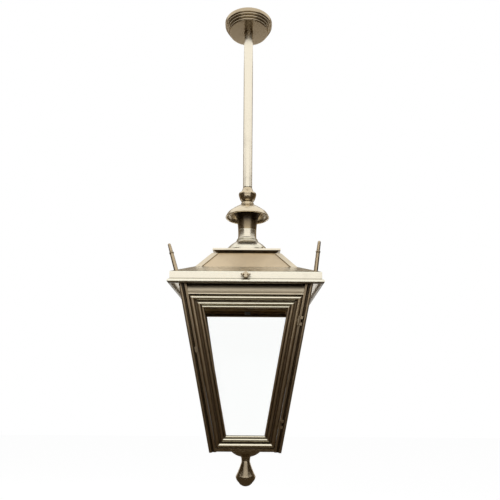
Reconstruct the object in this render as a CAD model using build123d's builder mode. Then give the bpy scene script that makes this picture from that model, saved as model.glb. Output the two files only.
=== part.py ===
from build123d import *
import os
from math import atan, cos, hypot, radians, sin, sqrt, tan

# Hanging porch lantern in cast and sheet brass, glazed on four sides.
# Millimetres, +Z up. The origin is on the ceiling, on the line of the rod.
# The front, with the door, faces -Y. Heights below the ceiling are negative.

# Clearances
seat_gap = 0.1          # between fixed pieces that lie side by side
slip_gap = 0.2          # round a threaded stem, stud or spigot
pin_gap = 0.05          # running clearance of a hinge pin, on the radius
turn_gap = 0.3          # round a piece that turns in a plate

# Ceiling bracket: bent strip with two slots, dropped in the middle for the nuts
bracket_width = 22.0
bracket_sheet = 2.0
bracket_drop = 9.0
bracket_middle = 52.0
bracket_riser = 4.0
ear_drop = 5.4
tab_length = 30.0
tab_reach = 25.0
slot_spacing = 80.0
slot_radius = 2.6
slot_length = 10.0

# Ceiling rose: spun cup with a deep first band and three beads
rose_radius = 52.2
rose_band = 6.6
bead_count = 3
bead_pitch = 4.1
bead_height = 3.3
bead_step = 1.6
bead_bulge = 0.9
rose_draft = 1.0
rose_lip = 0.9
rose_wall = 1.5
rose_shoulder = 0.9
rose_screw_radius = 1.5
rose_screw_drop = 3.0

# Rod and its two lock nuts
rod_radius = 10.0
rod_bore = 8.4
rod_top = -3.0
rod_length = 361.0
nut_flats = 30.0
nut_height = 5.0

# Terminal block on the bracket
block_length = 30.0
block_width = 9.0
block_height = 6.2

# Knuckle under the rod
knuckle_cone = 12.4
knuckle_cone_radius = 15.5
knuckle_rim_radius = 19.4
knuckle_groove = 1.2
knuckle_rim = 6.0
knuckle_bowl = 19.8
knuckle_waist_radius = 11.8
knuckle_foot = 7.1
knuckle_foot_radius = 14.2
spigot_length = 14.0

# Bell cowl
bell_radius = 48.2
bell_height = 28.2
bell_neck_radius = 16.6
bell_shoulder_radius = 40.8
bell_shoulder_drop = 15.3
bell_wall = 1.6
bell_bead = 1.7

# Cup between cowl and collar
cup_top_radius = 30.0
cup_top_up = 11.0
cup_throat_radius = 22.4
cup_throat_drop = 16.5
cup_low_radius = 20.2
cup_height = 38.8
cup_wall = 2.0
cup_floor = 6.0

# Collar: neck, bead, domed skirt and rim, one casting
neck_radius = 20.4
neck_length = 18.6
neck_bead_radius = 23.0
neck_bead_height = 5.2
fillet_radius = 24.6
fillet_height = 2.4
dome_radius = 45.0
dome_height = 16.7
dome_bulge = 1.6
rim_radius = 47.6
rim_groove = 1.2
rim_foot_radius = 50.4
rim_foot = 4.4
collar_height = 57.1
collar_bore = 42.0
collar_bore_depth = 13.6
collar_hollow = 14.0
collar_shoulder = 4.4
collar_web = 4.0

# Three round-head screws through the collar's rim
crown_screw_count = 3
crown_screw_turn = -46.0
crown_screw_rise = 10.6
crown_screw_radius = 1.5
crown_head_radius = 2.4
crown_head_height = 1.7
crown_screw_reach = 7.0

# Stem: threaded tube from the knuckle to the lampholder, and its nut
stem_radius = 5.0
stem_bore = 3.6
stem_in_knuckle = 20.0
stem_in_holder = 9.0
stem_nut_flats = 17.0
stem_nut_height = 5.0

# Cap plate: square pan with a bevelled edge and a recessed foot
plate_half = 70.9
plate_edge = 3.6
plate_bevel = 4.4
plate_bevel_half = 61.0
plate_foot_half = 60.0
plate_foot = 2.6
plate_wall = 1.8
plate_ring_wall = 2.6

# Hip roof and its corner straps
roof_top_half = 70.0
roof_set_in = 2.1         # of the roof's foot from the edge of the tray's flat
roof_height = 35.4
roof_wall = 1.5
strap_width = 9.5
strap_thickness = 1.6

# Eaves tray: sloped top, upright fascia, rolled lip and inner flange
eaves_top_half = 103.3
eaves_half = 148.2
eaves_drop = 19.8
eaves_rest = 4.0
fascia_height = 14.5
lip_height = 8.6
lip_out = 4.7
sheet = 1.6
flange_up = 5.9
tray_hole_half = 120.5

# Corner finials: leaning spikes on the eaves; each leans out and back by its own angles
finial_reach = 137.0
finial_length = 59.0
finial_low_radius = 4.2
finial_high_radius = 3.5
finial_step = 38.0
finial_collar_radius = 4.7
finial_collar = 2.4
finial_tip_radius = 3.1
finial_tenon = 8.0
finial_boss_radius = 7.0
finial_boss_depth = 10.0
finial_lean = {
    "front_left": (16.5, 14.0),
    "front_right": (6.5, 0.0),
    "back_left": (12.0, 0.0),
    "back_right": (12.0, 0.0),
}

# Thumb catch on the front of the fascia
catch_drop = 7.4
catch_shank_radius = 3.0
catch_hub_radius = 6.2
catch_hub_length = 6.5
catch_wing_span = 18.6
catch_wing_reach = 12.5
catch_wing_thickness = 2.2
catch_pin_radius = 1.2
catch_pin_span = 14.0
catch_inside = 5.5

# Lampholder
holder_radius = 19.5
holder_height = 56.0
holder_cap_radius = 12.0
holder_cap = 12.0
holder_bore = 13.2
holder_bore_depth = 24.0
holder_below_plate = 14.0

# Body: a tapered square cage hung from the eaves tray
body_half_top = 133.3
body_half_low = 75.7
body_height = 341.6
post_width = 15.5
post_bead_radius = 3.3
post_step = 2.0
post_cove_start = 6.6
post_cove_end = 11.0
post_cove_depth = 4.6
foot_drop = 2.6
foot_rise = 1.6

# Top ring: upstand inside the tray, flange on the posts, coved frieze below
upstand_height = 15.4
frieze_height = 21.0
frieze_recess = 3.0
frieze_depth = 10.0
frieze_set_back = 3.4
hook_width = 60.0
hook_reach = 7.0

# Base ring, base plate, boss and pendant
base_ring_height = 7.0
base_ring_recess = 1.0
base_ring_width = 21.0
base_plate_edge = 14.8
base_plate_thickness = 2.0
boss_radius = 37.0
boss_collar = 9.5
boss_mid_radius = 29.0
boss_mid_drop = 18.0
boss_low_radius = 12.0
boss_height = 26.0
boss_wall = 2.6
pendant_stem_radius = 9.5
pendant_stem = 13.0
pendant_neck_radius = 13.0
pendant_neck = 22.0
pendant_wide_radius = 22.1
pendant_wide = 43.0
pendant_low_radius = 15.9
pendant_low = 57.0
pendant_length = 66.5
stud_radius = 4.0
base_nut_flats = 13.0
base_nut_height = 5.0

# Mitred frame mouldings, measured from the outer edge towards the glass: the
# door's has three beads, and the fixed panes' has the first bead alone
frame_width = 25.2
frame_recess = 4.0
bead_one = 9.5
bead_one_rise = 3.6
groove_width = 3.5
groove_depth = 1.9
bead_two = 6.5
bead_two_rise = 2.2
quirk_width = 0.9
bead_three_rise = 2.0
rail_face = 0.3
inner_step = 0.9
rail_depth = 9.0
rebate_width = 8.0
slim_width = 12.4
slim_rebate = 6.0
glass_thickness = 3.0
glass_edge_gap = 0.5
door_side_gap = 0.6
door_top_gap = 2.2
door_foot_gap = 1.2

# Glazing clips
clip_length = 14.0
clip_width = 7.0
clip_thickness = 1.2
clip_over_glass = 2.5

# Door hinges on the right post, and the turn button on the left post
hinge_drops = (73.4, 282.6)
knuckle_radius = 2.4
knuckle_length = 6.0
knuckle_gap = 0.4
pin_radius = 1.0
pin_lift = 0.8
leaf_width = 8.0
leaf_thickness = 1.6
lug_width = 5.0
lug_floor = 1.5
lug_thickness = 2.1
button_drop = 127.9
button_from_seam = 3.4
button_width = 5.4
button_tongue = 9.5
button_tail = 3.2
button_thickness = 2.0
button_lift = 0.5
button_pivot_radius = 1.6
button_pivot_depth = 5.0
button_boss_radius = 2.4

# Heights worked out from the sizes above
roof_low_half = eaves_top_half - roof_set_in
rose_depth = rose_band + bead_count * bead_pitch + rose_lip
plate_z = -bracket_drop
rod_low = rod_top - rod_length
knuckle_low = rod_low - knuckle_cone - knuckle_bowl - knuckle_foot
bell_top = knuckle_low
bell_low = bell_top - bell_height
cup_top = bell_low + cup_top_up
cup_low = cup_top - cup_height
collar_low = cup_low - collar_height
plate_low = collar_low - plate_edge - plate_bevel - plate_foot
roof_low = plate_low - roof_height
fascia_top = roof_low - eaves_drop
fascia_low = fascia_top - fascia_height
lip_low = fascia_low - lip_height
flange_low = lip_low + flange_up
body_low = flange_low - body_height
base_top = body_low + base_ring_height
slope = (body_half_top - body_half_low) / body_height
tilt = atan(slope)
ring_flange_low = flange_low - sheet
slot_top = ring_flange_low - frieze_height


def body_half(z):
    """Half width over the posts' outer faces at height z."""
    return body_half_top + (z - flange_low) * slope


def frustum(half_low, z_low, half_high, z_high):
    """Solid square frustum centred on the rod's line."""
    with BuildPart() as block:
        with BuildSketch(Plane.XY.offset(z_low)):
            Rectangle(2 * half_low, 2 * half_low)
        with BuildSketch(Plane.XY.offset(z_high)):
            Rectangle(2 * half_high, 2 * half_high)
        loft(ruled=True)
    return block.part


def mitred_square(section):
    """Square ring of one section, drawn as (distance out, height) on the +X side."""
    far = 4 * eaves_half
    with BuildPart() as side:
        with BuildSketch(Plane.XZ):
            add(section)
        extrude(amount=far, both=True)
        split(bisect_by=Plane(origin=(0, 0, 0), z_dir=(1, 1, 0)), keep=Keep.TOP)
        split(bisect_by=Plane(origin=(0, 0, 0), z_dir=(1, -1, 0)), keep=Keep.TOP)
    with BuildPart() as ring:
        for turn in (0, 90, 180, 270):
            add(side.part, rotation=(0, 0, turn))
    return ring.part


def hex_nut(flats, height, bore, z_low):
    """Plain hexagon nut on the rod's line."""
    with BuildPart() as nut:
        with BuildSketch(Plane.XY.offset(z_low)):
            RegularPolygon(radius=flats / 2, side_count=6, major_radius=False)
            Circle(bore, mode=Mode.SUBTRACT)
        extrude(amount=height)
    return nut.part


# Ceiling bracket, a bent strip whose ears take the rose's screws
ear_corner = rose_radius - rose_wall - 3 * seat_gap
ear_out = sqrt(ear_corner**2 - (bracket_width / 2) ** 2)
riser_out = bracket_middle / 2 + bracket_riser
with BuildPart() as ceiling_bracket:
    with BuildSketch(Plane.XZ):
        with BuildLine():
            Polyline(
                (0, plate_z),
                (bracket_middle / 2, plate_z),
                (riser_out, 0),
                (ear_out, 0),
                (ear_out, -ear_drop),
                (ear_out - bracket_sheet, -ear_drop),
                (ear_out - bracket_sheet, -bracket_sheet),
                (riser_out + bracket_sheet, -bracket_sheet),
                (bracket_middle / 2 + bracket_sheet, plate_z - bracket_sheet),
                (0, plate_z - bracket_sheet),
                close=True,
            )
        make_face()
    extrude(amount=bracket_width / 2, both=True)
    mirror(about=Plane.YZ)
    with BuildSketch():
        Circle(rod_radius + slip_gap)
        with Locations((-slot_spacing / 2, 0), (slot_spacing / 2, 0)):
            SlotOverall(slot_length, 2 * slot_radius)
    extrude(amount=-bracket_drop - 2 * bracket_sheet, mode=Mode.SUBTRACT)
    with BuildSketch(Plane.YZ.offset(-rose_radius)):
        with Locations((0, -rose_screw_drop)):
            Circle(rose_screw_radius + slip_gap)
    extrude(amount=2 * rose_radius, mode=Mode.SUBTRACT)
    with BuildSketch(Plane.XY.offset(plate_z)):
        with Locations((0, (tab_reach + bracket_width / 2) / 2)):
            Rectangle(tab_length, tab_reach - bracket_width / 2)
    extrude(amount=-bracket_sheet)
ceiling_bracket.part.label = "ceiling_bracket"

# Ceiling rose, spun cup that the rod passes through
inner_high = rose_radius - rose_draft - bead_step - bead_bulge
inner_slope = (bead_step + 1.5 * bead_bulge) / bead_pitch
inner_low = inner_high - inner_slope * (rose_depth - rose_band - rose_wall + rose_shoulder)
with BuildPart() as ceiling_rose:
    with BuildSketch(Plane.XZ):
        with BuildLine():
            Line((rose_radius, 0), (rose_radius - rose_draft, -rose_band))
            edge = rose_radius - rose_draft
            level = -rose_band
            for bead in range(bead_count):
                low = (edge - bead_step - bead_bulge, level - bead_pitch + bead_height)
                Line((edge, level), low)
                foot = (low[0] - bead_bulge / 2, level - bead_pitch)
                bulge = ((low[0] + foot[0]) / 2 + bead_bulge, (low[1] + foot[1]) / 2)
                ThreePointArc(low, bulge, foot)
                edge = foot[0]
                level = foot[1]
            face_radius = edge - rose_lip / 2
            Polyline(
                (edge, level),
                (face_radius, -rose_depth),
                (rod_radius + slip_gap, -rose_depth),
                (rod_radius + slip_gap, -rose_depth + rose_wall),
                (inner_low, -rose_depth + rose_wall),
                (inner_high, -rose_band + rose_shoulder),
                (rose_radius - rose_wall, -rose_band + rose_shoulder),
                (rose_radius - rose_wall, 0),
                (rose_radius, 0),
            )
        make_face()
    revolve(axis=Axis.Z)
    with BuildSketch(Plane.YZ.offset(-rose_radius)):
        with Locations((0, -rose_screw_drop)):
            Circle(rose_screw_radius + slip_gap)
    extrude(amount=2 * rose_radius, mode=Mode.SUBTRACT)
ceiling_rose.part.label = "ceiling_rose"

# Grub screws that hold the rose to the bracket's ears, flush with its side
screw_out = rose_radius - rose_draft * rose_screw_drop / rose_band - 0.3
with BuildPart() as rose_screws:
    for side in (-1, 1):
        with BuildSketch(Plane.YZ.offset(side * screw_out)):
            with Locations((0, -rose_screw_drop)):
                Circle(rose_screw_radius)
        extrude(amount=-side * (rose_wall + bracket_sheet + 2.4))
rose_screws.part.label = "rose_screws"

# Lock nuts above and below the bracket's dropped middle
with BuildPart() as rod_lock_nuts:
    add(hex_nut(nut_flats, nut_height, rod_radius + slip_gap, plate_z))
    add(
        hex_nut(
            nut_flats,
            nut_height,
            rod_radius + slip_gap,
            plate_z - bracket_sheet - nut_height,
        )
    )
rod_lock_nuts.part.label = "rod_lock_nuts"

# Terminal block, fixed under the bracket's side tab
block_y = tab_reach - block_width / 2
with BuildPart() as terminal_block:
    with BuildSketch(Plane.XY.offset(plate_z - bracket_sheet)):
        with Locations((0, block_y)):
            Rectangle(block_length, block_width)
    extrude(amount=-block_height)
    with BuildSketch(Plane.XY.offset(plate_z - bracket_sheet - block_height)):
        with Locations((0, block_y)):
            with GridLocations(block_length / 3, 0, 3, 1):
                Circle(block_width / 4)
    extrude(amount=block_height / 2, mode=Mode.SUBTRACT)
terminal_block.part.label = "terminal_block"

# Suspension rod, a tube that carries the cable
with BuildPart() as suspension_rod:
    with BuildSketch(Plane.XY.offset(rod_low)):
        Circle(rod_radius)
        Circle(rod_bore, mode=Mode.SUBTRACT)
    extrude(amount=rod_length)
suspension_rod.part.label = "suspension_rod"

# Knuckle: turned coupling with a spigot in the rod and a socket for the stem
cone_low = rod_low - knuckle_cone
stem_top = knuckle_low + stem_in_knuckle
with BuildPart() as rod_knuckle:
    with BuildSketch(Plane.XZ):
        with BuildLine():
            Polyline(
                (stem_bore, rod_low + spigot_length),
                (rod_bore - slip_gap, rod_low + spigot_length),
                (rod_bore - slip_gap, rod_low),
                (rod_radius, rod_low),
            )
            ThreePointArc(
                (rod_radius, rod_low),
                (rod_radius + 0.42 * (knuckle_cone_radius - rod_radius), rod_low - knuckle_cone / 2),
                (knuckle_cone_radius, cone_low + knuckle_groove),
            )
            Polyline(
                (knuckle_cone_radius, cone_low + knuckle_groove),
                (knuckle_cone_radius - knuckle_groove, cone_low + knuckle_groove),
                (knuckle_cone_radius - knuckle_groove, cone_low),
                (knuckle_rim_radius - 0.6, cone_low),
            )
            ThreePointArc(
                (knuckle_rim_radius - 0.6, cone_low),
                (knuckle_rim_radius, cone_low - knuckle_rim / 2),
                (knuckle_rim_radius - 0.8, cone_low - knuckle_rim),
            )
            ThreePointArc(
                (knuckle_rim_radius - 0.8, cone_low - knuckle_rim),
                (knuckle_rim_radius - 3.2, cone_low - 0.68 * knuckle_bowl),
                (knuckle_waist_radius, knuckle_low + knuckle_foot),
            )
            Polyline(
                (knuckle_waist_radius, knuckle_low + knuckle_foot),
                (knuckle_foot_radius - 1.2, knuckle_low + knuckle_foot - 1.0),
                (knuckle_foot_radius, knuckle_low + 1.6),
                (knuckle_foot_radius, knuckle_low),
                (stem_radius + slip_gap, knuckle_low),
                (stem_radius + slip_gap, stem_top + slip_gap),
                (stem_bore, stem_top + slip_gap),
                (stem_bore, rod_low + spigot_length),
            )
        make_face()
    revolve(axis=Axis.Z)
rod_knuckle.part.label = "rod_knuckle"

# Bell cowl: spun shade with a rolled rim, open below
shoulder_z = bell_top - bell_shoulder_drop
rim_z = bell_low + bell_bead
seat_z = bell_top - bell_wall
with BuildPart() as bell_cowl:
    with BuildSketch(Plane.XZ):
        with BuildLine():
            Line((stem_radius + slip_gap, bell_top), (bell_neck_radius, bell_top))
            ThreePointArc(
                (bell_neck_radius, bell_top),
                ((bell_neck_radius + bell_shoulder_radius) / 2 + 0.5, bell_top - 7.2),
                (bell_shoulder_radius, shoulder_z),
            )
            ThreePointArc(
                (bell_shoulder_radius, shoulder_z),
                (bell_shoulder_radius + 4.0, shoulder_z - 4.8),
                (bell_radius - bell_bead / 2, rim_z + bell_bead),
            )
            ThreePointArc(
                (bell_radius - bell_bead / 2, rim_z + bell_bead),
                (bell_radius, rim_z),
                (bell_radius - bell_bead, bell_low),
            )
            Line((bell_radius - bell_bead, bell_low), (bell_radius - 1.8 * bell_bead, rim_z))
            ThreePointArc(
                (bell_radius - 1.8 * bell_bead, rim_z),
                (bell_shoulder_radius + 2.2, shoulder_z - 5.6),
                (bell_shoulder_radius - bell_wall, shoulder_z - bell_wall),
            )
            ThreePointArc(
                (bell_shoulder_radius - bell_wall, shoulder_z - bell_wall),
                ((bell_neck_radius + bell_shoulder_radius) / 2 - 0.5, bell_top - 7.2 - bell_wall),
                (bell_neck_radius, seat_z),
            )
            Polyline(
                (bell_neck_radius, seat_z),
                (stem_radius + slip_gap, seat_z),
                (stem_radius + slip_gap, bell_top),
            )
        make_face()
    revolve(axis=Axis.Z)
bell_cowl.part.label = "bell_cowl"

# Cup: flares up into the cowl, with a spacer boss that meets it on the stem
throat_z = cup_top - cup_throat_drop
throat_mid = (
    cup_throat_radius + 0.34 * (cup_top_radius - cup_throat_radius),
    cup_top - 0.54 * cup_throat_drop,
)
with BuildPart() as crown_cup:
    with BuildSketch(Plane.XZ):
        with BuildLine():
            ThreePointArc((cup_top_radius, cup_top), throat_mid, (cup_throat_radius, throat_z))
            ThreePointArc(
                (cup_throat_radius, throat_z),
                ((cup_throat_radius + cup_low_radius) / 2 - 0.3, (throat_z + cup_low) / 2),
                (cup_low_radius, cup_low),
            )
            Polyline(
                (cup_low_radius, cup_low),
                (stem_radius + slip_gap, cup_low),
                (stem_radius + slip_gap, seat_z),
                (bell_neck_radius - 3.0, seat_z),
                (bell_neck_radius - 3.0, cup_low + cup_floor),
                (cup_low_radius - cup_wall - 0.6, cup_low + cup_floor),
                (cup_throat_radius - cup_wall, throat_z),
            )
            ThreePointArc(
                (cup_throat_radius - cup_wall, throat_z),
                (throat_mid[0] - 0.9 * cup_wall, throat_mid[1] + 0.4 * cup_wall),
                (cup_top_radius - cup_wall, cup_top),
            )
            Line((cup_top_radius - cup_wall, cup_top), (cup_top_radius, cup_top))
        make_face()
    revolve(axis=Axis.Z)
crown_cup.part.label = "crown_cup"

# Collar casting, hollowed from below to go over the cap plate's ring
neck_low = cup_low - neck_length
bead_low = neck_low - neck_bead_height
fillet_low = bead_low - fillet_height
dome_low = fillet_low - dome_height
with BuildPart() as crown_collar:
    with BuildSketch(Plane.XZ):
        with BuildLine():
            Polyline((stem_radius + slip_gap, cup_low), (neck_radius, cup_low))
            ThreePointArc(
                (neck_radius, cup_low),
                (neck_radius - 0.4, (cup_low + neck_low) / 2),
                (neck_radius + 0.2, neck_low),
            )
            Line((neck_radius + 0.2, neck_low), (neck_bead_radius - 1.8, neck_low))
            ThreePointArc(
                (neck_bead_radius - 1.8, neck_low),
                (neck_bead_radius, (neck_low + bead_low) / 2),
                (neck_bead_radius - 1.8, bead_low),
            )
            Polyline(
                (neck_bead_radius - 1.8, bead_low),
                (fillet_radius, bead_low),
                (fillet_radius, fillet_low),
            )
            ThreePointArc(
                (fillet_radius, fillet_low),
                (
                    (fillet_radius + dome_radius) / 2 + dome_bulge * 0.63,
                    (fillet_low + dome_low) / 2 + dome_bulge * 0.77,
                ),
                (dome_radius, dome_low),
            )
            Polyline(
                (dome_radius, dome_low),
                (dome_radius, dome_low - rim_groove),
                (rim_radius - 0.8, dome_low - rim_groove),
            )
            ThreePointArc(
                (rim_radius - 0.8, dome_low - rim_groove),
                (rim_radius, (dome_low - rim_groove + collar_low + rim_foot) / 2),
                (rim_radius - 0.8, collar_low + rim_foot),
            )
            Polyline(
                (rim_radius - 0.8, collar_low + rim_foot),
                (rim_foot_radius, collar_low + rim_foot),
                (rim_foot_radius, collar_low),
                (collar_bore, collar_low),
                (collar_bore, collar_low + collar_bore_depth),
                (collar_hollow, bead_low - collar_shoulder),
                (collar_hollow, cup_low - collar_web),
                (stem_radius + slip_gap, cup_low - collar_web),
                (stem_radius + slip_gap, cup_low),
            )
        make_face()
    revolve(axis=Axis.Z)
    for index in range(crown_screw_count):
        turn = radians(crown_screw_turn + index * 360 / crown_screw_count)
        way = (cos(turn), sin(turn), 0)
        inside = Vector(way) * (collar_bore - 4 * slip_gap) + Vector(0, 0, collar_low + crown_screw_rise)
        with BuildSketch(Plane(origin=inside, z_dir=way)):
            Circle(crown_screw_radius + slip_gap)
        extrude(amount=rim_radius - collar_bore + 2 * crown_screw_radius, mode=Mode.SUBTRACT)
crown_collar.part.label = "crown_collar"

# Crown screws, one of which shows at the front right
with BuildPart() as crown_screws:
    for index in range(crown_screw_count):
        turn = radians(crown_screw_turn + index * 360 / crown_screw_count)
        way = Vector(cos(turn), sin(turn), 0)
        seat = way * rim_radius + Vector(0, 0, collar_low + crown_screw_rise)
        with BuildSketch(Plane(origin=seat, z_dir=way)):
            Circle(crown_head_radius)
        extrude(amount=crown_head_height)
        with BuildSketch(Plane(origin=seat, z_dir=way)):
            Circle(crown_screw_radius)
        extrude(amount=-crown_screw_reach)
    fillet(
        crown_screws.faces().filter_by(GeomType.PLANE).edges().filter_by(
            lambda edge: abs(edge.length - 2 * 3.14159265 * crown_head_radius) < 0.1
            and (edge @ 0 - Vector(0, 0, (edge @ 0).Z)).length > rim_radius + crown_head_height / 2
        ),
        radius=crown_head_height * 0.7,
    )
crown_screws.part.label = "crown_screws"

# Cap plate: pan with an upstanding ring inside the collar
with BuildPart() as cap_plate:
    add(frustum(plate_half, collar_low - plate_edge, plate_half, collar_low))
    add(
        frustum(
            plate_bevel_half,
            collar_low - plate_edge - plate_bevel,
            plate_half,
            collar_low - plate_edge,
        )
    )
    add(frustum(plate_foot_half, plate_low, plate_foot_half, collar_low - plate_edge))
    add(
        frustum(
            plate_foot_half - plate_wall,
            plate_low,
            plate_foot_half - plate_wall,
            collar_low - plate_wall,
        ),
        mode=Mode.SUBTRACT,
    )
    with BuildSketch(Plane.XY.offset(collar_low)):
        Circle(collar_bore - slip_gap)
        Circle(collar_bore - slip_gap - plate_ring_wall, mode=Mode.SUBTRACT)
    extrude(amount=collar_bore_depth - 1.0)
    with BuildSketch(Plane.XY.offset(collar_low)):
        Circle(stem_radius + slip_gap)
    extrude(amount=-2 * plate_wall, mode=Mode.SUBTRACT)
    for index in range(crown_screw_count):
        turn = radians(crown_screw_turn + index * 360 / crown_screw_count)
        way = (cos(turn), sin(turn), 0)
        with BuildSketch(Plane(origin=(0, 0, collar_low + crown_screw_rise), z_dir=way)):
            Circle(crown_screw_radius + slip_gap)
        extrude(amount=collar_bore, mode=Mode.SUBTRACT)
cap_plate.part.label = "cap_plate"

# Hip roof: folded sheet with a flat top that the stem clamps to the cap plate
roof_run = roof_low_half - roof_top_half
roof_angle = atan(roof_height / roof_run)
wall_in = roof_wall / sin(roof_angle)
wall_drop_in = roof_wall * roof_run / roof_height
with BuildPart() as hip_roof:
    add(frustum(roof_low_half, roof_low, roof_top_half, plate_low))
    add(
        frustum(
            roof_low_half - wall_in,
            roof_low,
            roof_top_half + wall_drop_in - wall_in,
            plate_low - roof_wall,
        ),
        mode=Mode.SUBTRACT,
    )
    with BuildSketch(Plane.XY.offset(plate_low)):
        Circle(stem_radius + slip_gap)
    extrude(amount=-2 * roof_wall, mode=Mode.SUBTRACT)
hip_roof.part.label = "hip_roof"

# Hip straps: folded strips that cover the roof's four corner seams
strap_out = strap_thickness / sin(roof_angle)
hip_way = Vector(roof_run, -roof_run, -roof_height).normalized()
front_normal = Vector(0, -sin(roof_angle), cos(roof_angle))
right_normal = Vector(sin(roof_angle), 0, cos(roof_angle))
hip_top = Vector(roof_top_half, -roof_top_half, plate_low)
front_side = front_normal.cross(hip_way).normalized()
right_side = right_normal.cross(hip_way).normalized()
if front_side.X < 0:
    front_side = front_side * -1
if right_side.Y > 0:
    right_side = right_side * -1
with BuildPart() as one_strap:
    add(frustum(roof_low_half + strap_out, roof_low, roof_top_half + strap_out, plate_low))
    add(frustum(roof_low_half, roof_low, roof_top_half, plate_low), mode=Mode.SUBTRACT)
    with BuildSketch(Plane.XY.offset(roof_low)):
        with Locations((roof_low_half, -roof_low_half)):
            Rectangle(roof_low_half * 1.6, roof_low_half * 1.6)
    extrude(amount=roof_height, mode=Mode.INTERSECT)
    split(
        bisect_by=Plane(origin=hip_top - front_side * strap_width, z_dir=front_side),
        keep=Keep.TOP,
    )
    split(
        bisect_by=Plane(origin=hip_top - right_side * strap_width, z_dir=right_side),
        keep=Keep.TOP,
    )
with BuildPart() as hip_straps:
    for turn in (0, 90, 180, 270):
        add(one_strap.part, rotation=(0, 0, turn))
hip_straps.part.label = "hip_straps"

# Where each finial stands on the eaves and the way that it leans
slope_fall = eaves_drop / (eaves_half - eaves_top_half)
finial_foot_z = roof_low - (finial_reach - eaves_top_half) * slope_fall
corner_signs = {
    "front_left": (-1, -1),
    "front_right": (1, -1),
    "back_left": (-1, 1),
    "back_right": (1, 1),
}


def finial_axis(corner):
    """Foot and direction of one corner finial."""
    sign_x, sign_y = corner_signs[corner]
    out, back = finial_lean[corner]
    foot = Vector(sign_x * finial_reach, sign_y * finial_reach, finial_foot_z)
    return foot, Vector(sign_x * tan(radians(out)), tan(radians(back)), 1).normalized()


def finial(corner):
    """Turned spike with a collar at its step and a round tip."""
    foot, way = finial_axis(corner)
    across = Vector(0, 1, 0).cross(way).normalized()
    with BuildPart() as spike:
        with BuildSketch(Plane(origin=foot, x_dir=across, z_dir=across.cross(way))):
            with BuildLine():
                Polyline(
                    (0, -finial_tenon),
                    (finial_low_radius, -finial_tenon),
                    (finial_low_radius * 0.92, finial_step - finial_collar),
                    (finial_collar_radius, finial_step - finial_collar / 2),
                    (finial_collar_radius, finial_step),
                    (finial_high_radius, finial_step + finial_collar / 2),
                    (finial_tip_radius, finial_length - finial_tip_radius),
                )
                TangentArc(
                    (0, finial_length),
                    (finial_tip_radius, finial_length - finial_tip_radius),
                    tangent=(1, 0),
                )
                Line((0, finial_length), (0, -finial_tenon))
            make_face()
        revolve(axis=Axis(foot, way))
    return spike.part


def finial_boss(corner):
    """Round boss welded under the eaves, for one finial's tenon."""
    foot, way = finial_axis(corner)
    with BuildPart() as boss:
        with BuildSketch(Plane(origin=foot + way * finial_boss_radius, z_dir=way)):
            Circle(finial_boss_radius)
        extrude(amount=-(finial_boss_radius + finial_boss_depth))
        add(
            frustum(
                eaves_half + eaves_drop / slope_fall,
                fascia_top - eaves_drop,
                eaves_top_half,
                roof_low,
            ),
            mode=Mode.INTERSECT,
        )
    return boss.part


# Eaves tray: slope, fascia, rolled lip and inner flange in one sheet section
sheet_down = sheet * hypot(1, slope_fall)
with BuildSketch() as tray_section:
    with BuildLine():
        Polyline(
            (eaves_top_half - eaves_rest, roof_low),
            (eaves_top_half, roof_low),
            (eaves_half, fascia_top),
            (eaves_half, fascia_low),
            (eaves_half + lip_out * 0.3, fascia_low),
        )
        ThreePointArc(
            (eaves_half + lip_out * 0.3, fascia_low),
            (eaves_half + lip_out, (fascia_low + lip_low) / 2),
            (eaves_half + lip_out * 0.3, lip_low),
        )
        Polyline(
            (eaves_half + lip_out * 0.3, lip_low),
            (eaves_half - sheet, lip_low),
            (eaves_half - sheet, flange_low),
            (tray_hole_half, flange_low),
            (tray_hole_half, flange_low + sheet),
            (eaves_half - sheet, flange_low + sheet),
            (eaves_half - sheet, fascia_top + sheet * slope_fall - sheet_down),
            (eaves_top_half, roof_low - sheet_down),
            (eaves_top_half - eaves_rest, roof_low - sheet_down),
            (eaves_top_half - eaves_rest, roof_low),
        )
    make_face()
catch_z = fascia_top - catch_drop
with BuildPart() as eaves_tray:
    add(mitred_square(tray_section.sketch))
    for corner in corner_signs:
        foot, way = finial_axis(corner)
        add(finial_boss(corner))
        with BuildSketch(Plane(origin=foot - way * finial_tenon, z_dir=way)):
            Circle(finial_low_radius + slip_gap)
        extrude(amount=2 * finial_tenon, mode=Mode.SUBTRACT)
    with BuildSketch(Plane.XZ.offset(eaves_half - 2 * sheet)):
        with Locations((0, catch_z)):
            Circle(catch_shank_radius + turn_gap)
    extrude(amount=4 * sheet, mode=Mode.SUBTRACT)
eaves_tray.part.label = "eaves_tray"

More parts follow.
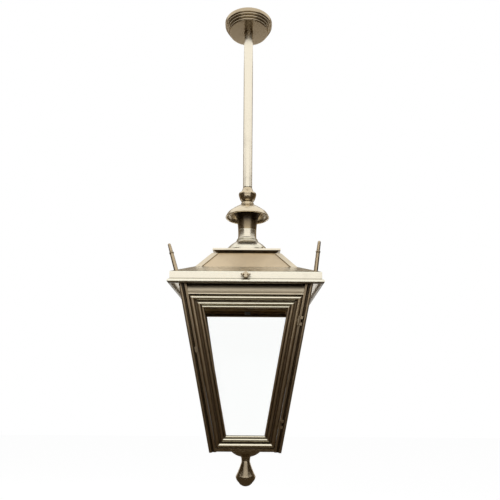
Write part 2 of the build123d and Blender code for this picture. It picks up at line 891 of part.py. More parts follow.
# Thumb catch: winged head, shank and cross pin, turned a quarter to let go
upstand_in = tray_hole_half - turn_gap - 2 * sheet
shank_end = upstand_in - catch_inside
head_plane = Plane.XZ.offset(eaves_half + turn_gap)
with BuildPart() as thumb_catch:
    with BuildSketch(Plane.XZ.offset(shank_end)):
        with Locations((0, catch_z)):
            Circle(catch_shank_radius)
    extrude(amount=eaves_half + turn_gap - shank_end)
    with BuildSketch(head_plane):
        with Locations((0, catch_z)):
            Circle(catch_hub_radius)
    extrude(amount=catch_hub_length)
    fillet(
        thumb_catch.faces().sort_by(Axis.Y)[0].edges(),
        radius=catch_hub_radius / 3,
    )
    with BuildSketch(Plane.XY.offset(catch_z)):
        with BuildLine():
            wing_root = -(eaves_half + turn_gap + 1.0)
            wing_tip = -(eaves_half + turn_gap + catch_wing_reach)
            half_span = catch_wing_span / 2
            Polyline(
                (0, wing_root),
                (catch_hub_radius * 0.8, wing_root),
                (half_span, wing_tip + 4.0),
            )
            ThreePointArc(
                (half_span, wing_tip + 4.0),
                (half_span - 1.2, wing_tip + 0.6),
                (half_span - 4.0, wing_tip),
            )
            Polyline(
                (half_span - 4.0, wing_tip),
                (catch_hub_radius * 0.4, wing_tip + catch_wing_reach * 0.5),
                (0, wing_tip + catch_wing_reach * 0.5),
                (0, wing_root),
            )
        make_face()
        mirror(about=Plane.YZ)
    extrude(amount=catch_wing_thickness / 2, both=True)
    with BuildSketch(Plane.YZ.offset(-catch_pin_span / 2)):
        with Locations((-(shank_end + catch_pin_radius + 0.6), catch_z)):
            Circle(catch_pin_radius)
    extrude(amount=catch_pin_span)
thumb_catch.part.label = "thumb_catch"

# Stem and the nut that clamps the crown, cap plate and roof together
holder_top = plate_low - holder_below_plate
stem_low = holder_top - stem_in_holder
with BuildPart() as crown_stem:
    with BuildSketch(Plane.XY.offset(stem_low)):
        Circle(stem_radius)
        Circle(stem_bore, mode=Mode.SUBTRACT)
    extrude(amount=stem_top - stem_low)
crown_stem.part.label = "crown_stem"

stem_nut_low = plate_low - roof_wall - stem_nut_height
stem_nut = hex_nut(stem_nut_flats, stem_nut_height, stem_radius + slip_gap, stem_nut_low)
stem_nut.label = "stem_nut"

# Lampholder, hidden under the roof above the line of sight
holder_low = holder_top - holder_height
with BuildPart() as lampholder:
    with BuildSketch(Plane.XZ):
        with BuildLine():
            Polyline(
                (stem_radius + slip_gap, holder_top),
                (holder_cap_radius, holder_top),
                (holder_cap_radius, holder_top - holder_cap / 2),
                (holder_radius - 1.5, holder_top - holder_cap),
                (holder_radius - 1.5, holder_low + holder_bore_depth),
                (holder_radius, holder_low + holder_bore_depth - 1.5),
                (holder_radius, holder_low),
                (holder_bore, holder_low),
                (holder_bore, holder_low + holder_bore_depth),
                (stem_bore, holder_low + holder_bore_depth),
                (stem_bore, holder_top - stem_in_holder - slip_gap),
                (stem_radius + slip_gap, holder_top - stem_in_holder - slip_gap),
                close=True,
            )
        make_face()
    revolve(axis=Axis.Z)
lampholder.part.label = "lampholder"

# The line that each post follows, as a shift for every millimetre of height
post_top = ring_flange_low
post_low = body_low - foot_drop


def post_prism(sign_x, sign_y, z_low, z_high, face):
    """Upright prism that leans with the body; face is drawn at the corner, inwards."""
    way = Vector(sign_x * slope, sign_y * slope, 1)
    origin = Vector(sign_x * body_half(z_low), sign_y * body_half(z_low), z_low)
    with BuildPart() as prism:
        with BuildSketch(Plane(origin=origin, x_dir=(-sign_x, 0, 0), z_dir=(0, 0, -sign_x * -sign_y))):
            add(face)
        extrude(amount=(z_high - z_low) * way.length, dir=way)
    return prism.part


# Post section: corner bead, cove and flat step, on both faces
with BuildSketch() as post_face:
    with BuildLine():
        Polyline(
            (post_width, post_width),
            (post_width, post_step),
            (post_cove_end, post_step),
        )
        ThreePointArc(
            (post_cove_end, post_step),
            ((post_cove_start + post_cove_end) / 2 - 0.6, post_cove_depth),
            (post_cove_start - 0.4, post_cove_depth),
        )
        Line((post_cove_start - 0.4, post_cove_depth), (post_cove_depth, post_cove_start - 0.4))
        ThreePointArc(
            (post_cove_depth, post_cove_start - 0.4),
            (post_cove_depth, (post_cove_start + post_cove_end) / 2 - 0.6),
            (post_step, post_cove_end),
        )
        Polyline(
            (post_step, post_cove_end),
            (post_step, post_width),
            (post_width, post_width),
        )
    make_face()
    with Locations((post_bead_radius, post_bead_radius)):
        Circle(post_bead_radius)
with BuildSketch() as post_room:
    Rectangle(post_width + seat_gap, post_width + seat_gap, align=(Align.MIN, Align.MIN))
    with Locations((-2.0, -2.0)):
        Rectangle(post_width, post_width, align=(Align.MIN, Align.MIN))


def corner_post(corner):
    """Leaning post whose foot is cut to a point at its outer corner."""
    sign_x, sign_y = corner_signs[corner]
    tip = Vector(sign_x * body_half(post_low), sign_y * body_half(post_low), post_low)
    inward = Vector(-sign_x * post_width, -sign_y * post_width, foot_rise + foot_drop / 2)
    across = Vector(-sign_y, sign_x, 0)
    rise = inward.cross(across).normalized()
    if rise.Z < 0:
        rise = rise * -1
    with BuildPart() as post:
        add(post_prism(sign_x, sign_y, post_low, post_top, post_face.sketch))
        split(bisect_by=Plane(origin=tip, z_dir=rise), keep=Keep.TOP)
    return post.part


# Top ring: one section round the square, notched for the posts
ring_in = tray_hole_half - turn_gap - 2 * sheet + 0.4
face_bottom = slot_top - slope * (frame_recess - frieze_recess)
back_bottom = slot_top + slope * (frieze_recess + frieze_depth - frame_recess)
ring_out = body_half(flange_low)
with BuildSketch() as ring_section:
    with BuildLine():
        frieze_top_half = body_half(ring_flange_low) - frieze_recess
        frieze_low_half = body_half(face_bottom) - frieze_recess
        Polyline(
            (ring_in, ring_flange_low),
            (ring_in, flange_low + upstand_height),
            (ring_in + sheet, flange_low + upstand_height),
            (ring_in + sheet, flange_low),
            (ring_out, flange_low),
            (ring_out, ring_flange_low),
            (frieze_top_half - frieze_set_back, ring_flange_low),
        )
        ThreePointArc(
            (frieze_top_half - frieze_set_back, ring_flange_low),
            (
                (frieze_top_half + frieze_low_half) / 2,
                (ring_flange_low + face_bottom) / 2,
            ),
            (frieze_low_half, face_bottom + 1.8),
        )
        Polyline(
            (frieze_low_half, face_bottom + 1.8),
            (frieze_low_half, face_bottom),
            (frieze_low_half - frieze_depth, back_bottom),
            (frieze_top_half - frieze_depth, ring_flange_low),
            (ring_in, ring_flange_low),
        )
    make_face()
with BuildPart() as top_ring:
    add(mitred_square(ring_section.sketch))
    for sign_x, sign_y in corner_signs.values():
        add(
            post_prism(sign_x, sign_y, slot_top - 10.0, ring_flange_low, post_room.sketch),
            mode=Mode.SUBTRACT,
        )
    with BuildSketch(Plane.XZ.offset(upstand_in - sheet)):
        with Locations((0, catch_z)):
            Circle(catch_shank_radius + turn_gap)
            Rectangle(2 * (catch_pin_radius + turn_gap), catch_pin_span + 1.0)
    extrude(amount=4 * sheet, mode=Mode.SUBTRACT)
    hook_z = flange_low + sheet + seat_gap
    with BuildSketch(Plane.XY.offset(hook_z)):
        with Locations((0, ring_in + (sheet + hook_reach) / 2)):
            Rectangle(hook_width, sheet + hook_reach)
    extrude(amount=sheet)
top_ring.part.label = "top_ring"

# Base ring between the feet of the posts
base_out_top = body_half(base_top) - base_ring_recess
base_out_low = body_half(body_low) - base_ring_recess
with BuildPart() as base_ring:
    add(frustum(base_out_low, body_low, base_out_top, base_top))
    add(
        frustum(
            base_out_low - base_ring_width,
            body_low,
            base_out_low - base_ring_width,
            base_top,
        ),
        mode=Mode.SUBTRACT,
    )
    for sign_x, sign_y in corner_signs.values():
        add(
            post_prism(sign_x, sign_y, body_low - 10.0, base_top + 10.0, post_room.sketch),
            mode=Mode.SUBTRACT,
        )
base_ring.part.label = "base_ring"

# Base plate laid on the ring, with the pendant's stud through it
base_plate_half = body_half(base_top) - base_plate_edge
with BuildPart() as base_plate:
    with BuildSketch(Plane.XY.offset(base_top)):
        Rectangle(2 * base_plate_half, 2 * base_plate_half)
        Circle(stud_radius + slip_gap, mode=Mode.SUBTRACT)
        for sign_x, sign_y in corner_signs.values():
            with Locations((sign_x * body_half(base_top), sign_y * body_half(base_top))):
                Rectangle(2 * post_width + 1.0, 2 * post_width + 1.0, mode=Mode.SUBTRACT)
    extrude(amount=base_plate_thickness)
base_plate.part.label = "base_plate"

# Dished boss under the base plate
boss_low = base_top - boss_height
with BuildPart() as base_boss:
    with BuildSketch(Plane.XZ):
        with BuildLine():
            Polyline(
                (stud_radius + slip_gap, base_top),
                (boss_radius, base_top),
                (boss_radius, base_top - boss_collar),
            )
            ThreePointArc(
                (boss_radius, base_top - boss_collar),
                (boss_mid_radius, base_top - boss_mid_drop),
                (boss_low_radius, boss_low),
            )
            Polyline(
                (boss_low_radius, boss_low),
                (stud_radius + slip_gap, boss_low),
                (stud_radius + slip_gap, boss_low + boss_wall),
                (boss_low_radius, boss_low + boss_wall),
            )
            ThreePointArc(
                (boss_low_radius, boss_low + boss_wall),
                (boss_mid_radius - boss_wall, base_top - boss_mid_drop + boss_wall / 2),
                (boss_radius - boss_wall, base_top - boss_collar),
            )
            Polyline(
                (boss_radius - boss_wall, base_top - boss_collar),
                (boss_radius - boss_wall, base_top - boss_wall),
                (stud_radius + slip_gap, base_top - boss_wall),
                (stud_radius + slip_gap, base_top),
            )
        make_face()
    revolve(axis=Axis.Z)
base_boss.part.label = "base_boss"

# Pendant: turned pear drop with a stud that goes up through boss and plate
stud_top = base_top + base_plate_thickness + base_nut_height + 2.0
with BuildPart() as pendant_finial:
    with BuildSketch(Plane.XZ):
        with BuildLine():
            Polyline(
                (0, stud_top),
                (stud_radius, stud_top),
                (stud_radius, boss_low),
                (boss_low_radius - 1.0, boss_low),
            )
            ThreePointArc(
                (boss_low_radius - 1.0, boss_low),
                (pendant_stem_radius, boss_low - pendant_stem * 0.6),
                (pendant_stem_radius + 0.6, boss_low - pendant_stem),
            )
            ThreePointArc(
                (pendant_stem_radius + 0.6, boss_low - pendant_stem),
                (pendant_neck_radius + 2.2, boss_low - pendant_neck - 6.0),
                (pendant_wide_radius, boss_low - pendant_wide),
            )
            ThreePointArc(
                (pendant_wide_radius, boss_low - pendant_wide),
                (pendant_wide_radius - 1.2, boss_low - pendant_wide - 7.0),
                (pendant_low_radius, boss_low - pendant_low),
            )
            TangentArc(
                (0, boss_low - pendant_length),
                (pendant_low_radius, boss_low - pendant_low),
                tangent=(1, 0),
            )
            Line((0, boss_low - pendant_length), (0, stud_top))
        make_face()
    revolve(axis=Axis.Z)
pendant_finial.part.label = "pendant_finial"

base_nut = hex_nut(
    base_nut_flats, base_nut_height, stud_radius + slip_gap, base_top + base_plate_thickness
)
base_nut.label = "base_nut"

# Frames: where the corners of each mitred frame lie in its own leaning plane
turns = {"front": 0, "right": 90, "back": 180, "left": 270}


def face_plane(side):
    """Leaning plane of a side's frame; x to the right, y up, z outwards."""
    turn = turns[side]
    outwards = Vector(0, -1, -slope).normalized()
    origin = Vector(0, -body_half(base_top), base_top) - outwards * frame_recess
    return Plane(
        origin=origin.rotate(Axis.Z, turn),
        x_dir=Vector(1, 0, 0).rotate(Axis.Z, turn),
        z_dir=outwards.rotate(Axis.Z, turn),
    )


def frame_corners(side_gap, foot_gap, top_gap):
    """Outer corners, anticlockwise from the lower left, seen from outside."""
    origin_z = face_plane("front").origin.Z
    low = foot_gap + (base_top - origin_z) / cos(tilt)
    high = (slot_top - origin_z) / cos(tilt) - top_gap
    low_half = body_half(origin_z + low * cos(tilt)) - post_width - side_gap
    high_half = body_half(origin_z + high * cos(tilt)) - post_width - side_gap
    return [
        Vector(-low_half, low),
        Vector(low_half, low),
        Vector(high_half, high),
        Vector(-high_half, high),
    ]


def left_of(way):
    """Direction a quarter turn to the left of a direction in the plane."""
    return Vector(-way.Y, way.X)


def mitre_way(corners, index):
    """Step from a corner to the point one millimetre in from both its edges."""
    here = corners[index]
    into = left_of((here - corners[index - 1]).normalized())
    away = left_of((corners[(index + 1) % 4] - here).normalized())
    return (into + away) * (1 / (1 + into.dot(away)))


def inset(corners, distance):
    """The same four-sided outline, moved in by one distance all round."""
    return [corners[i] + mitre_way(corners, i) * distance for i in range(4)]


def to_world(plane, point, height=0.0):
    """Point of a leaning plane, raised outwards by a height, in the lantern's frame."""
    return plane.origin + plane.x_dir * point.X + plane.y_dir * point.Y + plane.z_dir * height


# Moulding section: three beads stepping in towards the glass, rebated behind
with BuildSketch() as moulding:
    groove_end = bead_one + groove_width
    bead_two_end = groove_end + bead_two
    bead_three_start = bead_two_end + quirk_width
    second_face = rail_face - inner_step
    third_face = second_face - inner_step
    with BuildLine():
        Line((0, -rail_depth), (0, rail_face))
        ThreePointArc(
            (0, rail_face), (bead_one / 2, rail_face + bead_one_rise), (bead_one, rail_face)
        )
        Polyline(
            (bead_one, rail_face),
            (bead_one, rail_face - groove_depth),
            (groove_end, rail_face - groove_depth),
            (groove_end, second_face),
        )
        ThreePointArc(
            (groove_end, second_face),
            (groove_end + bead_two / 2, second_face + bead_two_rise),
            (bead_two_end, second_face),
        )
        Polyline(
            (bead_two_end, second_face),
            (bead_two_end, third_face - inner_step),
            (bead_three_start, third_face - inner_step),
            (bead_three_start, third_face),
        )
        ThreePointArc(
            (bead_three_start, third_face),
            ((bead_three_start + frame_width) / 2, third_face + bead_three_rise),
            (frame_width, third_face - 0.4),
        )
        Polyline(
            (frame_width, third_face - 0.4),
            (frame_width, glass_thickness - rail_depth),
            (frame_width - rebate_width, glass_thickness - rail_depth),
            (frame_width - rebate_width, -rail_depth),
            (0, -rail_depth),
        )
    make_face()


# The fixed panes' slimmer moulding
with BuildSketch() as slim_moulding:
    with BuildLine():
        Line((0, -rail_depth), (0, rail_face))
        ThreePointArc(
            (0, rail_face), (bead_one / 2, rail_face + bead_one_rise), (bead_one, rail_face)
        )
        Polyline(
            (bead_one, rail_face),
            (bead_one, rail_face - inner_step),
            (slim_width, rail_face - inner_step),
            (slim_width, glass_thickness - rail_depth),
            (slim_width - slim_rebate, glass_thickness - rail_depth),
            (slim_width - slim_rebate, -rail_depth),
            (0, -rail_depth),
        )
    make_face()


def rail(plane, corners, index, section):
    """One mitred length of moulding, from corner index to the next."""
    start = corners[index]
    end = corners[(index + 1) % 4]
    along = (end - start).normalized()
    inwards = left_of(along)
    first = to_world(plane, start)
    last = to_world(plane, end)
    along_world = plane.x_dir * along.X + plane.y_dir * along.Y
    inwards_world = plane.x_dir * inwards.X + plane.y_dir * inwards.Y
    cuts = []
    for corner, here in ((index, first), ((index + 1) % 4, last)):
        step = mitre_way(corners, corner)
        step_world = plane.x_dir * step.X + plane.y_dir * step.Y
        normal = step_world.cross(plane.z_dir).normalized()
        middle = (first + last) * 0.5
        if normal.dot(middle - here) < 0:
            normal = normal * -1
        cuts.append(Plane(origin=here, z_dir=normal))
    with BuildPart() as member:
        with BuildSketch(Plane(origin=first, x_dir=inwards_world, z_dir=along_world)):
            add(section)
        extrude(amount=(last - first).length)
        split(bisect_by=cuts[0], keep=Keep.TOP)
        split(bisect_by=cuts[1], keep=Keep.TOP)
    return member.part


def glass_pane(plane, corners, sight):
    """Clear pane that lies in the rebates behind the mouldings."""
    edge = sight + glass_edge_gap
    with BuildPart() as pane:
        with BuildSketch(plane.offset(-rail_depth)):
            with BuildLine():
                Polyline(*[(p.X, p.Y) for p in inset(corners, edge)], close=True)
            make_face()
        extrude(amount=glass_thickness)
    return pane.part


def clip_set(plane, corners, sight):
    """Four tabs on the backs of the rails, each reaching over the glass."""
    inner = inset(corners, sight)
    with BuildPart() as tabs:
        for index in range(4):
            start = inner[index]
            end = inner[(index + 1) % 4]
            along = (end - start).normalized()
            middle = (start + end) * 0.5 + left_of(along) * (clip_over_glass - clip_width / 2)
            with BuildSketch(
                Plane(
                    origin=to_world(plane, middle, -rail_depth),
                    x_dir=plane.x_dir * along.X + plane.y_dir * along.Y,
                    z_dir=plane.z_dir,
                )
            ):
                Rectangle(clip_length, clip_width)
            extrude(amount=-clip_thickness)
    return tabs.part


fixed_corners = frame_corners(seat_gap, seat_gap, seat_gap)
door_corners = frame_corners(door_side_gap, door_foot_gap, door_top_gap)
front = face_plane("front")

# Door hinges: the pin's line runs up the seam beside the right post
seam_low = (door_corners[1] + Vector(door_side_gap / 2, 0))
seam_high = (door_corners[2] + Vector(door_side_gap / 2, 0))
pin_height = frame_recess + pin_lift
pin_foot = to_world(front, seam_low, pin_height)
pin_way = (to_world(front, seam_high, pin_height) - pin_foot).normalized()
seam_out = front.z_dir.cross(pin_way) * -1


def on_pin(drop):
    """Point on the pins' line at a drop below the eaves tray's flange."""
    return pin_foot + pin_way * ((flange_low - drop - pin_foot.Z) / pin_way.Z)


def seam_block(centre, length, near, far, floor, height):
    """Block beside the seam: along it, from near to far across it, above a floor."""
    origin = centre + front.z_dir * (floor - pin_height) - pin_way * (length / 2)
    with BuildPart() as block:
        with BuildSketch(Plane(origin=origin, x_dir=seam_out, z_dir=-pin_way)):
            with Locations(((near + far) / 2, height / 2)):
                Rectangle(abs(far - near), height)
        extrude(amount=-length)
    return block.part


def barrel(centre, length):
    """Plain knuckle on the pin's line."""
    with BuildPart() as tube:
        with BuildSketch(Plane(origin=centre - pin_way * (length / 2), z_dir=pin_way)):
            Circle(knuckle_radius)
        extrude(amount=length)
    return tube.part


def pin_bore(centre, length, radius):
    """Round bar on the pin's line."""
    with BuildPart() as bar:
        with BuildSketch(Plane(origin=centre - pin_way * (length / 2), z_dir=pin_way)):
            Circle(radius)
        extrude(amount=length)
    return bar.part


knuckle_pitch = knuckle_length + knuckle_gap
set_length = 3 * knuckle_length + 2 * knuckle_gap
leaf_floor = frame_recess - post_step * cos(tilt) + seat_gap
with BuildPart() as post_hinge_knuckles:
    for drop in hinge_drops:
        for place in (-1, 1):
            centre = on_pin(drop) + pin_way * (place * knuckle_pitch)
            add(barrel(centre, knuckle_length))
            add(seam_block(centre, knuckle_length, door_side_gap, leaf_width, leaf_floor, leaf_thickness))
    for drop in hinge_drops:
        add(pin_bore(on_pin(drop), 2 * set_length, pin_radius + pin_gap), mode=Mode.SUBTRACT)
post_hinge_knuckles.part.label = "post_hinge_knuckles"

lug_near = -(door_side_gap / 2 + 0.2)
lug_far = -(door_side_gap / 2 + lug_width)
with BuildPart() as door_hinge_knuckles:
    for drop in hinge_drops:
        add(barrel(on_pin(drop), knuckle_length))
        add(
            seam_block(
                on_pin(drop), knuckle_length, lug_near, lug_far, lug_floor, lug_thickness
            )
        )
    for drop in hinge_drops:
        add(pin_bore(on_pin(drop), 2 * set_length, pin_radius + pin_gap), mode=Mode.SUBTRACT)
door_hinge_knuckles.part.label = "door_hinge_knuckles"

with BuildPart() as hinge_pins:
    for drop in hinge_drops:
        add(pin_bore(on_pin(drop), set_length, pin_radius))
hinge_pins.part.label = "hinge_pins"

# Turn button: pivots in the left post and swings over the door's outer bead
button_z = flange_low - button_drop
button_up = (button_z - front.origin.Z) / cos(tilt)
button_x = -(body_half(button_z) - post_width + button_from_seam)
button_centre = to_world(front, Vector(button_x, button_up))
left_way = Vector(-pin_way.X, pin_way.Y, pin_way.Z)
button_plane = Plane(origin=button_centre, x_dir=left_way, z_dir=front.z_dir)
button_floor = frame_recess + button_lift
step_floor = frame_recess - post_step * cos(tilt)
with BuildPart() as door_catch:
    with BuildSketch(button_plane.offset(button_floor)):
        with Locations(((button_tail - button_tongue) / 2, 0)):
            SlotOverall(button_tongue + button_tail, button_width)
    extrude(amount=button_thickness)
    with BuildSketch(button_plane.offset(step_floor + seat_gap)):
        Circle(button_boss_radius)
    extrude(amount=button_floor - step_floor - seat_gap + button_thickness / 2)
    with BuildSketch(button_plane.offset(button_floor + button_thickness)):
        Circle(button_boss_radius)
    extrude(amount=button_thickness / 2)
    with BuildSketch(button_plane.offset(button_floor)):
        Circle(button_pivot_radius)
    extrude(amount=-(button_floor - step_floor + button_pivot_depth))
door_catch.part.label = "door_catch"

# Pieces made in sets
pieces = {
    "ceiling_bracket": ceiling_bracket.part,
    "ceiling_rose": ceiling_rose.part,
    "rose_screws": rose_screws.part,
    "rod_lock_nuts": rod_lock_nuts.part,
    "terminal_block": terminal_block.part,
    "suspension_rod": suspension_rod.part,
    "rod_knuckle": rod_knuckle.part,
    "crown_stem": crown_stem.part,
    "stem_nut": stem_nut,
    "bell_cowl": bell_cowl.part,
    "crown_cup": crown_cup.part,
    "crown_collar": crown_collar.part,
    "crown_screws": crown_screws.part,
    "cap_plate": cap_plate.part,
    "lampholder": lampholder.part,
    "hip_roof": hip_roof.part,
    "hip_straps": hip_straps.part,
    "eaves_tray": eaves_tray.part,
    "thumb_catch": thumb_catch.part,
    "top_ring": top_ring.part,
    "base_ring": base_ring.part,
    "base_plate": base_plate.part,
    "base_boss": base_boss.part,
    "pendant_finial": pendant_finial.part,
    "base_nut": base_nut,
    "post_hinge_knuckles": post_hinge_knuckles.part,
    "door_hinge_knuckles": door_hinge_knuckles.part,
    "hinge_pins": hinge_pins.part,
    "door_catch": door_catch.part,
}

for corner in corner_signs:
    pieces["corner_finial_" + corner] = finial(corner)
    with BuildPart() as post:
        add(corner_post(corner))
        if corner == "front_left":
            with BuildSketch(button_plane.offset(step_floor + 2.0)):
                Circle(button_pivot_radius + pin_gap)
            extrude(amount=-(button_pivot_depth + 3.0), mode=Mode.SUBTRACT)
    pieces["corner_post_" + corner] = post.part

member_names = ("bottom_rail", "right_stile", "top_rail", "left_stile")
clips = []
for side in turns:
    plane = face_plane(side)
    corners = door_corners if side == "front" else fixed_corners
    owner = "door" if side == "front" else side + "_frame"
    section = moulding.sketch if side == "front" else slim_moulding.sketch
    sight = frame_width - rebate_width if side == "front" else slim_width - slim_rebate
    for index, member_name in enumerate(member_names):
        with BuildPart() as member:
            add(rail(plane, corners, index, section))
            if owner == "door" and member_name == "right_stile":
                for drop in hinge_drops:
                    add(
                        seam_block(
                            on_pin(drop),
                            knuckle_length + 2 * seat_gap,
                            0.5,
                            lug_far - seat_gap,
                            lug_floor,
                            2 * lug_thickness,
                        ),
                        mode=Mode.SUBTRACT,
                    )
        pieces[owner + "_" + member_name] = member.part
    pieces[("door" if side == "front" else side) + "_glass"] = glass_pane(
        plane, corners, sight
    )
    if side == "front":
        pieces["door_glazing_clips"] = clip_set(plane, corners, sight)
    else:
        clips.append(clip_set(plane, corners, sight))
with BuildPart() as glazing_clips:
    for tabs in clips:
        add(tabs)
pieces["glazing_clips"] = glazing_clips.part

os.makedirs("parts", exist_ok=True)
for name, piece in pieces.items():
    piece.label = name
    export_step(piece, "parts/" + name + ".step")
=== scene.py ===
import math

import bmesh
import bpy
from mathutils import Matrix, Vector


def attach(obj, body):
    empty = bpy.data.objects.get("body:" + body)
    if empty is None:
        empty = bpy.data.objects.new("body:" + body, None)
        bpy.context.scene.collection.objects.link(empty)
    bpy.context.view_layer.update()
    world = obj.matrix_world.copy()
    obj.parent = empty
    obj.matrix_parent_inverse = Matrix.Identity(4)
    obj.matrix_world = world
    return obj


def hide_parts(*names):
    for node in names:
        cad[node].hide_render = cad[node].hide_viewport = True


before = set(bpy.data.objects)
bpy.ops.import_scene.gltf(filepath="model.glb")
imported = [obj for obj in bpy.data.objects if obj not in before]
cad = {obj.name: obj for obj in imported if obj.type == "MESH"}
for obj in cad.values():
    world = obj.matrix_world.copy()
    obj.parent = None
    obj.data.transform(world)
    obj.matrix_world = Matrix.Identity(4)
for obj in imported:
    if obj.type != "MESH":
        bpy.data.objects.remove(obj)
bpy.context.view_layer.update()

# The viewpoint: a level camera at the height of the glazed box, shifted so that the
# upright picture takes in the rod above, and rolled a hair as the photograph is.
picture_pixels = 500.0
focal_pixels = 523.0
sensor_width = 36.0
view_camera = bpy.data.cameras.new("view_camera")
view_camera.sensor_width = sensor_width
view_camera.lens = focal_pixels / picture_pixels * sensor_width
view_camera.shift_x = -0.0088
view_camera.shift_y = 0.276
view_camera.clip_start = 0.01
view_camera.clip_end = 60.0
camera = bpy.data.objects.new("camera", view_camera)
camera.location = (0.0182, -1.162, -0.808)
camera.rotation_euler = (math.radians(90.0), math.radians(-0.39), 0.0)
bpy.context.scene.collection.objects.link(camera)
bpy.context.scene.camera = camera
bpy.context.scene.view_settings.view_transform = "Standard"


class Socket:
    """One shader socket; arithmetic on it adds Math nodes to its tree."""

    def __init__(self, tree, link):
        self.tree = tree
        self.link = link

    def maths(self, operation, *values):
        return node(self.tree, "ShaderNodeMath", {"operation": operation}, *values)

    def __add__(self, other):
        return self.maths("ADD", self, other)

    def __radd__(self, other):
        return self.maths("ADD", other, self)

    def __sub__(self, other):
        return self.maths("SUBTRACT", self, other)

    def __rsub__(self, other):
        return self.maths("SUBTRACT", other, self)

    def __mul__(self, other):
        return self.maths("MULTIPLY", self, other)

    def clamp(self):
        return node(self.tree, "ShaderNodeClamp", {}, self)

    def step(self, low, high):
        """0 below low, 1 above high, smooth between."""
        settings = {"interpolation_type": "SMOOTHSTEP"}
        return node(self.tree, "ShaderNodeMapRange", settings, self, low, high, 0.0, 1.0)

    def stretched(self, x, y, z):
        """A place with each axis scaled, to draw a pattern out along one of them."""
        return node(self.tree, "ShaderNodeVectorMath", {"operation": "MULTIPLY"}, self, (x, y, z))

    def mixed(self, first, second):
        """Colour first where this is 0, second where it is 1."""
        gap = [None] * 5
        settings = {"data_type": "RGBA"}
        return node(self.tree, "ShaderNodeMix", settings, self, *gap, first, second, out=2)


def node(tree, kind, settings, *values, out=0, **named):
    """Adds a node, sets it up, feeds its sockets in order or by name, returns one output."""
    made = tree.nodes.new(kind)
    for key, value in settings.items():
        setattr(made, key, value)
    for socket, value in list(enumerate(values)) + list(named.items()):
        if value is None:
            continue
        if isinstance(socket, str):
            socket = socket.replace("_", " ")
        target = made.inputs[socket]
        if isinstance(value, Socket):
            tree.links.new(value.link, target)
        else:
            if target.type == "RGBA":
                value = (*value[:3], 1.0)
            target.default_value = value
    return Socket(tree, made.outputs[out])


def shader(name):
    """An empty material and its tree."""
    made = bpy.data.materials.new(name)
    made.use_nodes = True
    made.node_tree.nodes.clear()
    return made, made.node_tree


def surface(tree, link, kind="ShaderNodeOutputMaterial"):
    """Joins a shader to the tree's output."""
    tree.links.new(link.link, tree.nodes.new(kind).inputs["Surface"])


def seen_ray(tree):
    """1 for rays from the camera, off gloss and through glass, 0 for the rest."""
    light = tree.nodes.new("ShaderNodeLightPath")
    rays = [Socket(tree, light.outputs["Is " + ray + " Ray"]) for ray in ("Camera", "Glossy", "Transmission")]
    return (rays[0] + rays[1] + rays[2]).clamp()


# The studio: a white floor and white surroundings that the camera, gloss and
# glass all see, soft lamps above, and cards round the sides and below that only
# show as the dark and pale bands reflected in polished metal.
studio = bpy.data.worlds.new("studio_world")
bpy.context.scene.world = studio
studio.use_nodes = True
tree = studio.node_tree
tree.nodes.clear()
white_air = node(tree, "ShaderNodeBackground", {}, (1.0, 1.0, 1.0), seen_ray(tree) * 0.3 + 0.7)
surface(tree, white_air, "ShaderNodeOutputWorld")


def plain_mesh(name, points, faces, paint):
    """A piece of the studio, in metres."""
    mesh = bpy.data.meshes.new(name)
    mesh.from_pydata(points, [], faces)
    mesh.materials.append(paint)
    made = bpy.data.objects.new(name, mesh)
    bpy.context.scene.collection.objects.link(made)
    return made


def square(half, z):
    """Corners of a level square, and its one face."""
    return [(-half, -half, z), (half, -half, z), (half, half, z), (-half, half, z)], [(0, 1, 2, 3)]


floor_z = -1.75
floor_half = 9.0
floor_paint, tree = shader("floor_paint")
matt = node(tree, "ShaderNodeBsdfDiffuse", {}, (0.9, 0.9, 0.9))
glow = node(tree, "ShaderNodeEmission", {}, (1.0, 1.0, 1.0), seen_ray(tree) * 0.35)
surface(tree, node(tree, "ShaderNodeAddShader", {}, matt, glow))
plain_mesh("floor", *square(floor_half, floor_z), floor_paint)


def gloss_card(name, points, faces, tone):
    """A card of one tone that only reflections see."""
    paint, tree = shader(name + "_tone")
    surface(tree, node(tree, "ShaderNodeEmission", {}, tone, 1.0))
    made = plain_mesh(name, points, faces, paint)
    made.visible_camera = False
    made.visible_diffuse = False
    made.visible_transmission = False
    made.visible_shadow = False
    made.visible_volume_scatter = False
    return made


card_radius = 1.9
card_strips = 32


def curved_card(name, from_angle, to_angle, low, high, tone):
    """Part of an upright cylinder; angle 0 is behind the lantern, 90 to its right."""
    points = []
    for i in range(card_strips + 1):
        turn = math.radians(from_angle + (to_angle - from_angle) * i / card_strips)
        x, y = card_radius * math.sin(turn), card_radius * math.cos(turn)
        points += [(x, y, low), (x, y, high)]
    faces = [(2 * i, 2 * i + 2, 2 * i + 3, 2 * i + 1) for i in range(card_strips)]
    gloss_card(name, points, faces, tone)


card_brown = (0.06, 0.045, 0.028)
card_foot = floor_z + 0.02
back_edge, front_edge = 62, 140
curved_card("card_back_low", -back_edge, back_edge, card_foot, -1.2, (0.2, 0.16, 0.11))
curved_card("card_back_high", -back_edge, back_edge, -0.75, 1.1, (0.22, 0.17, 0.11))
curved_card("card_left", -front_edge, -back_edge, card_foot, 0.3, card_brown)
curved_card("card_right", back_edge, front_edge, card_foot, 0.3, card_brown)
curved_card("card_front", front_edge, 360 - front_edge, card_foot, -0.92, card_brown)
gloss_card("card_below", *square(1.85, floor_z + 0.03), (0.075, 0.057, 0.036))


lamp_target = (0.0, 0.0, -0.6)


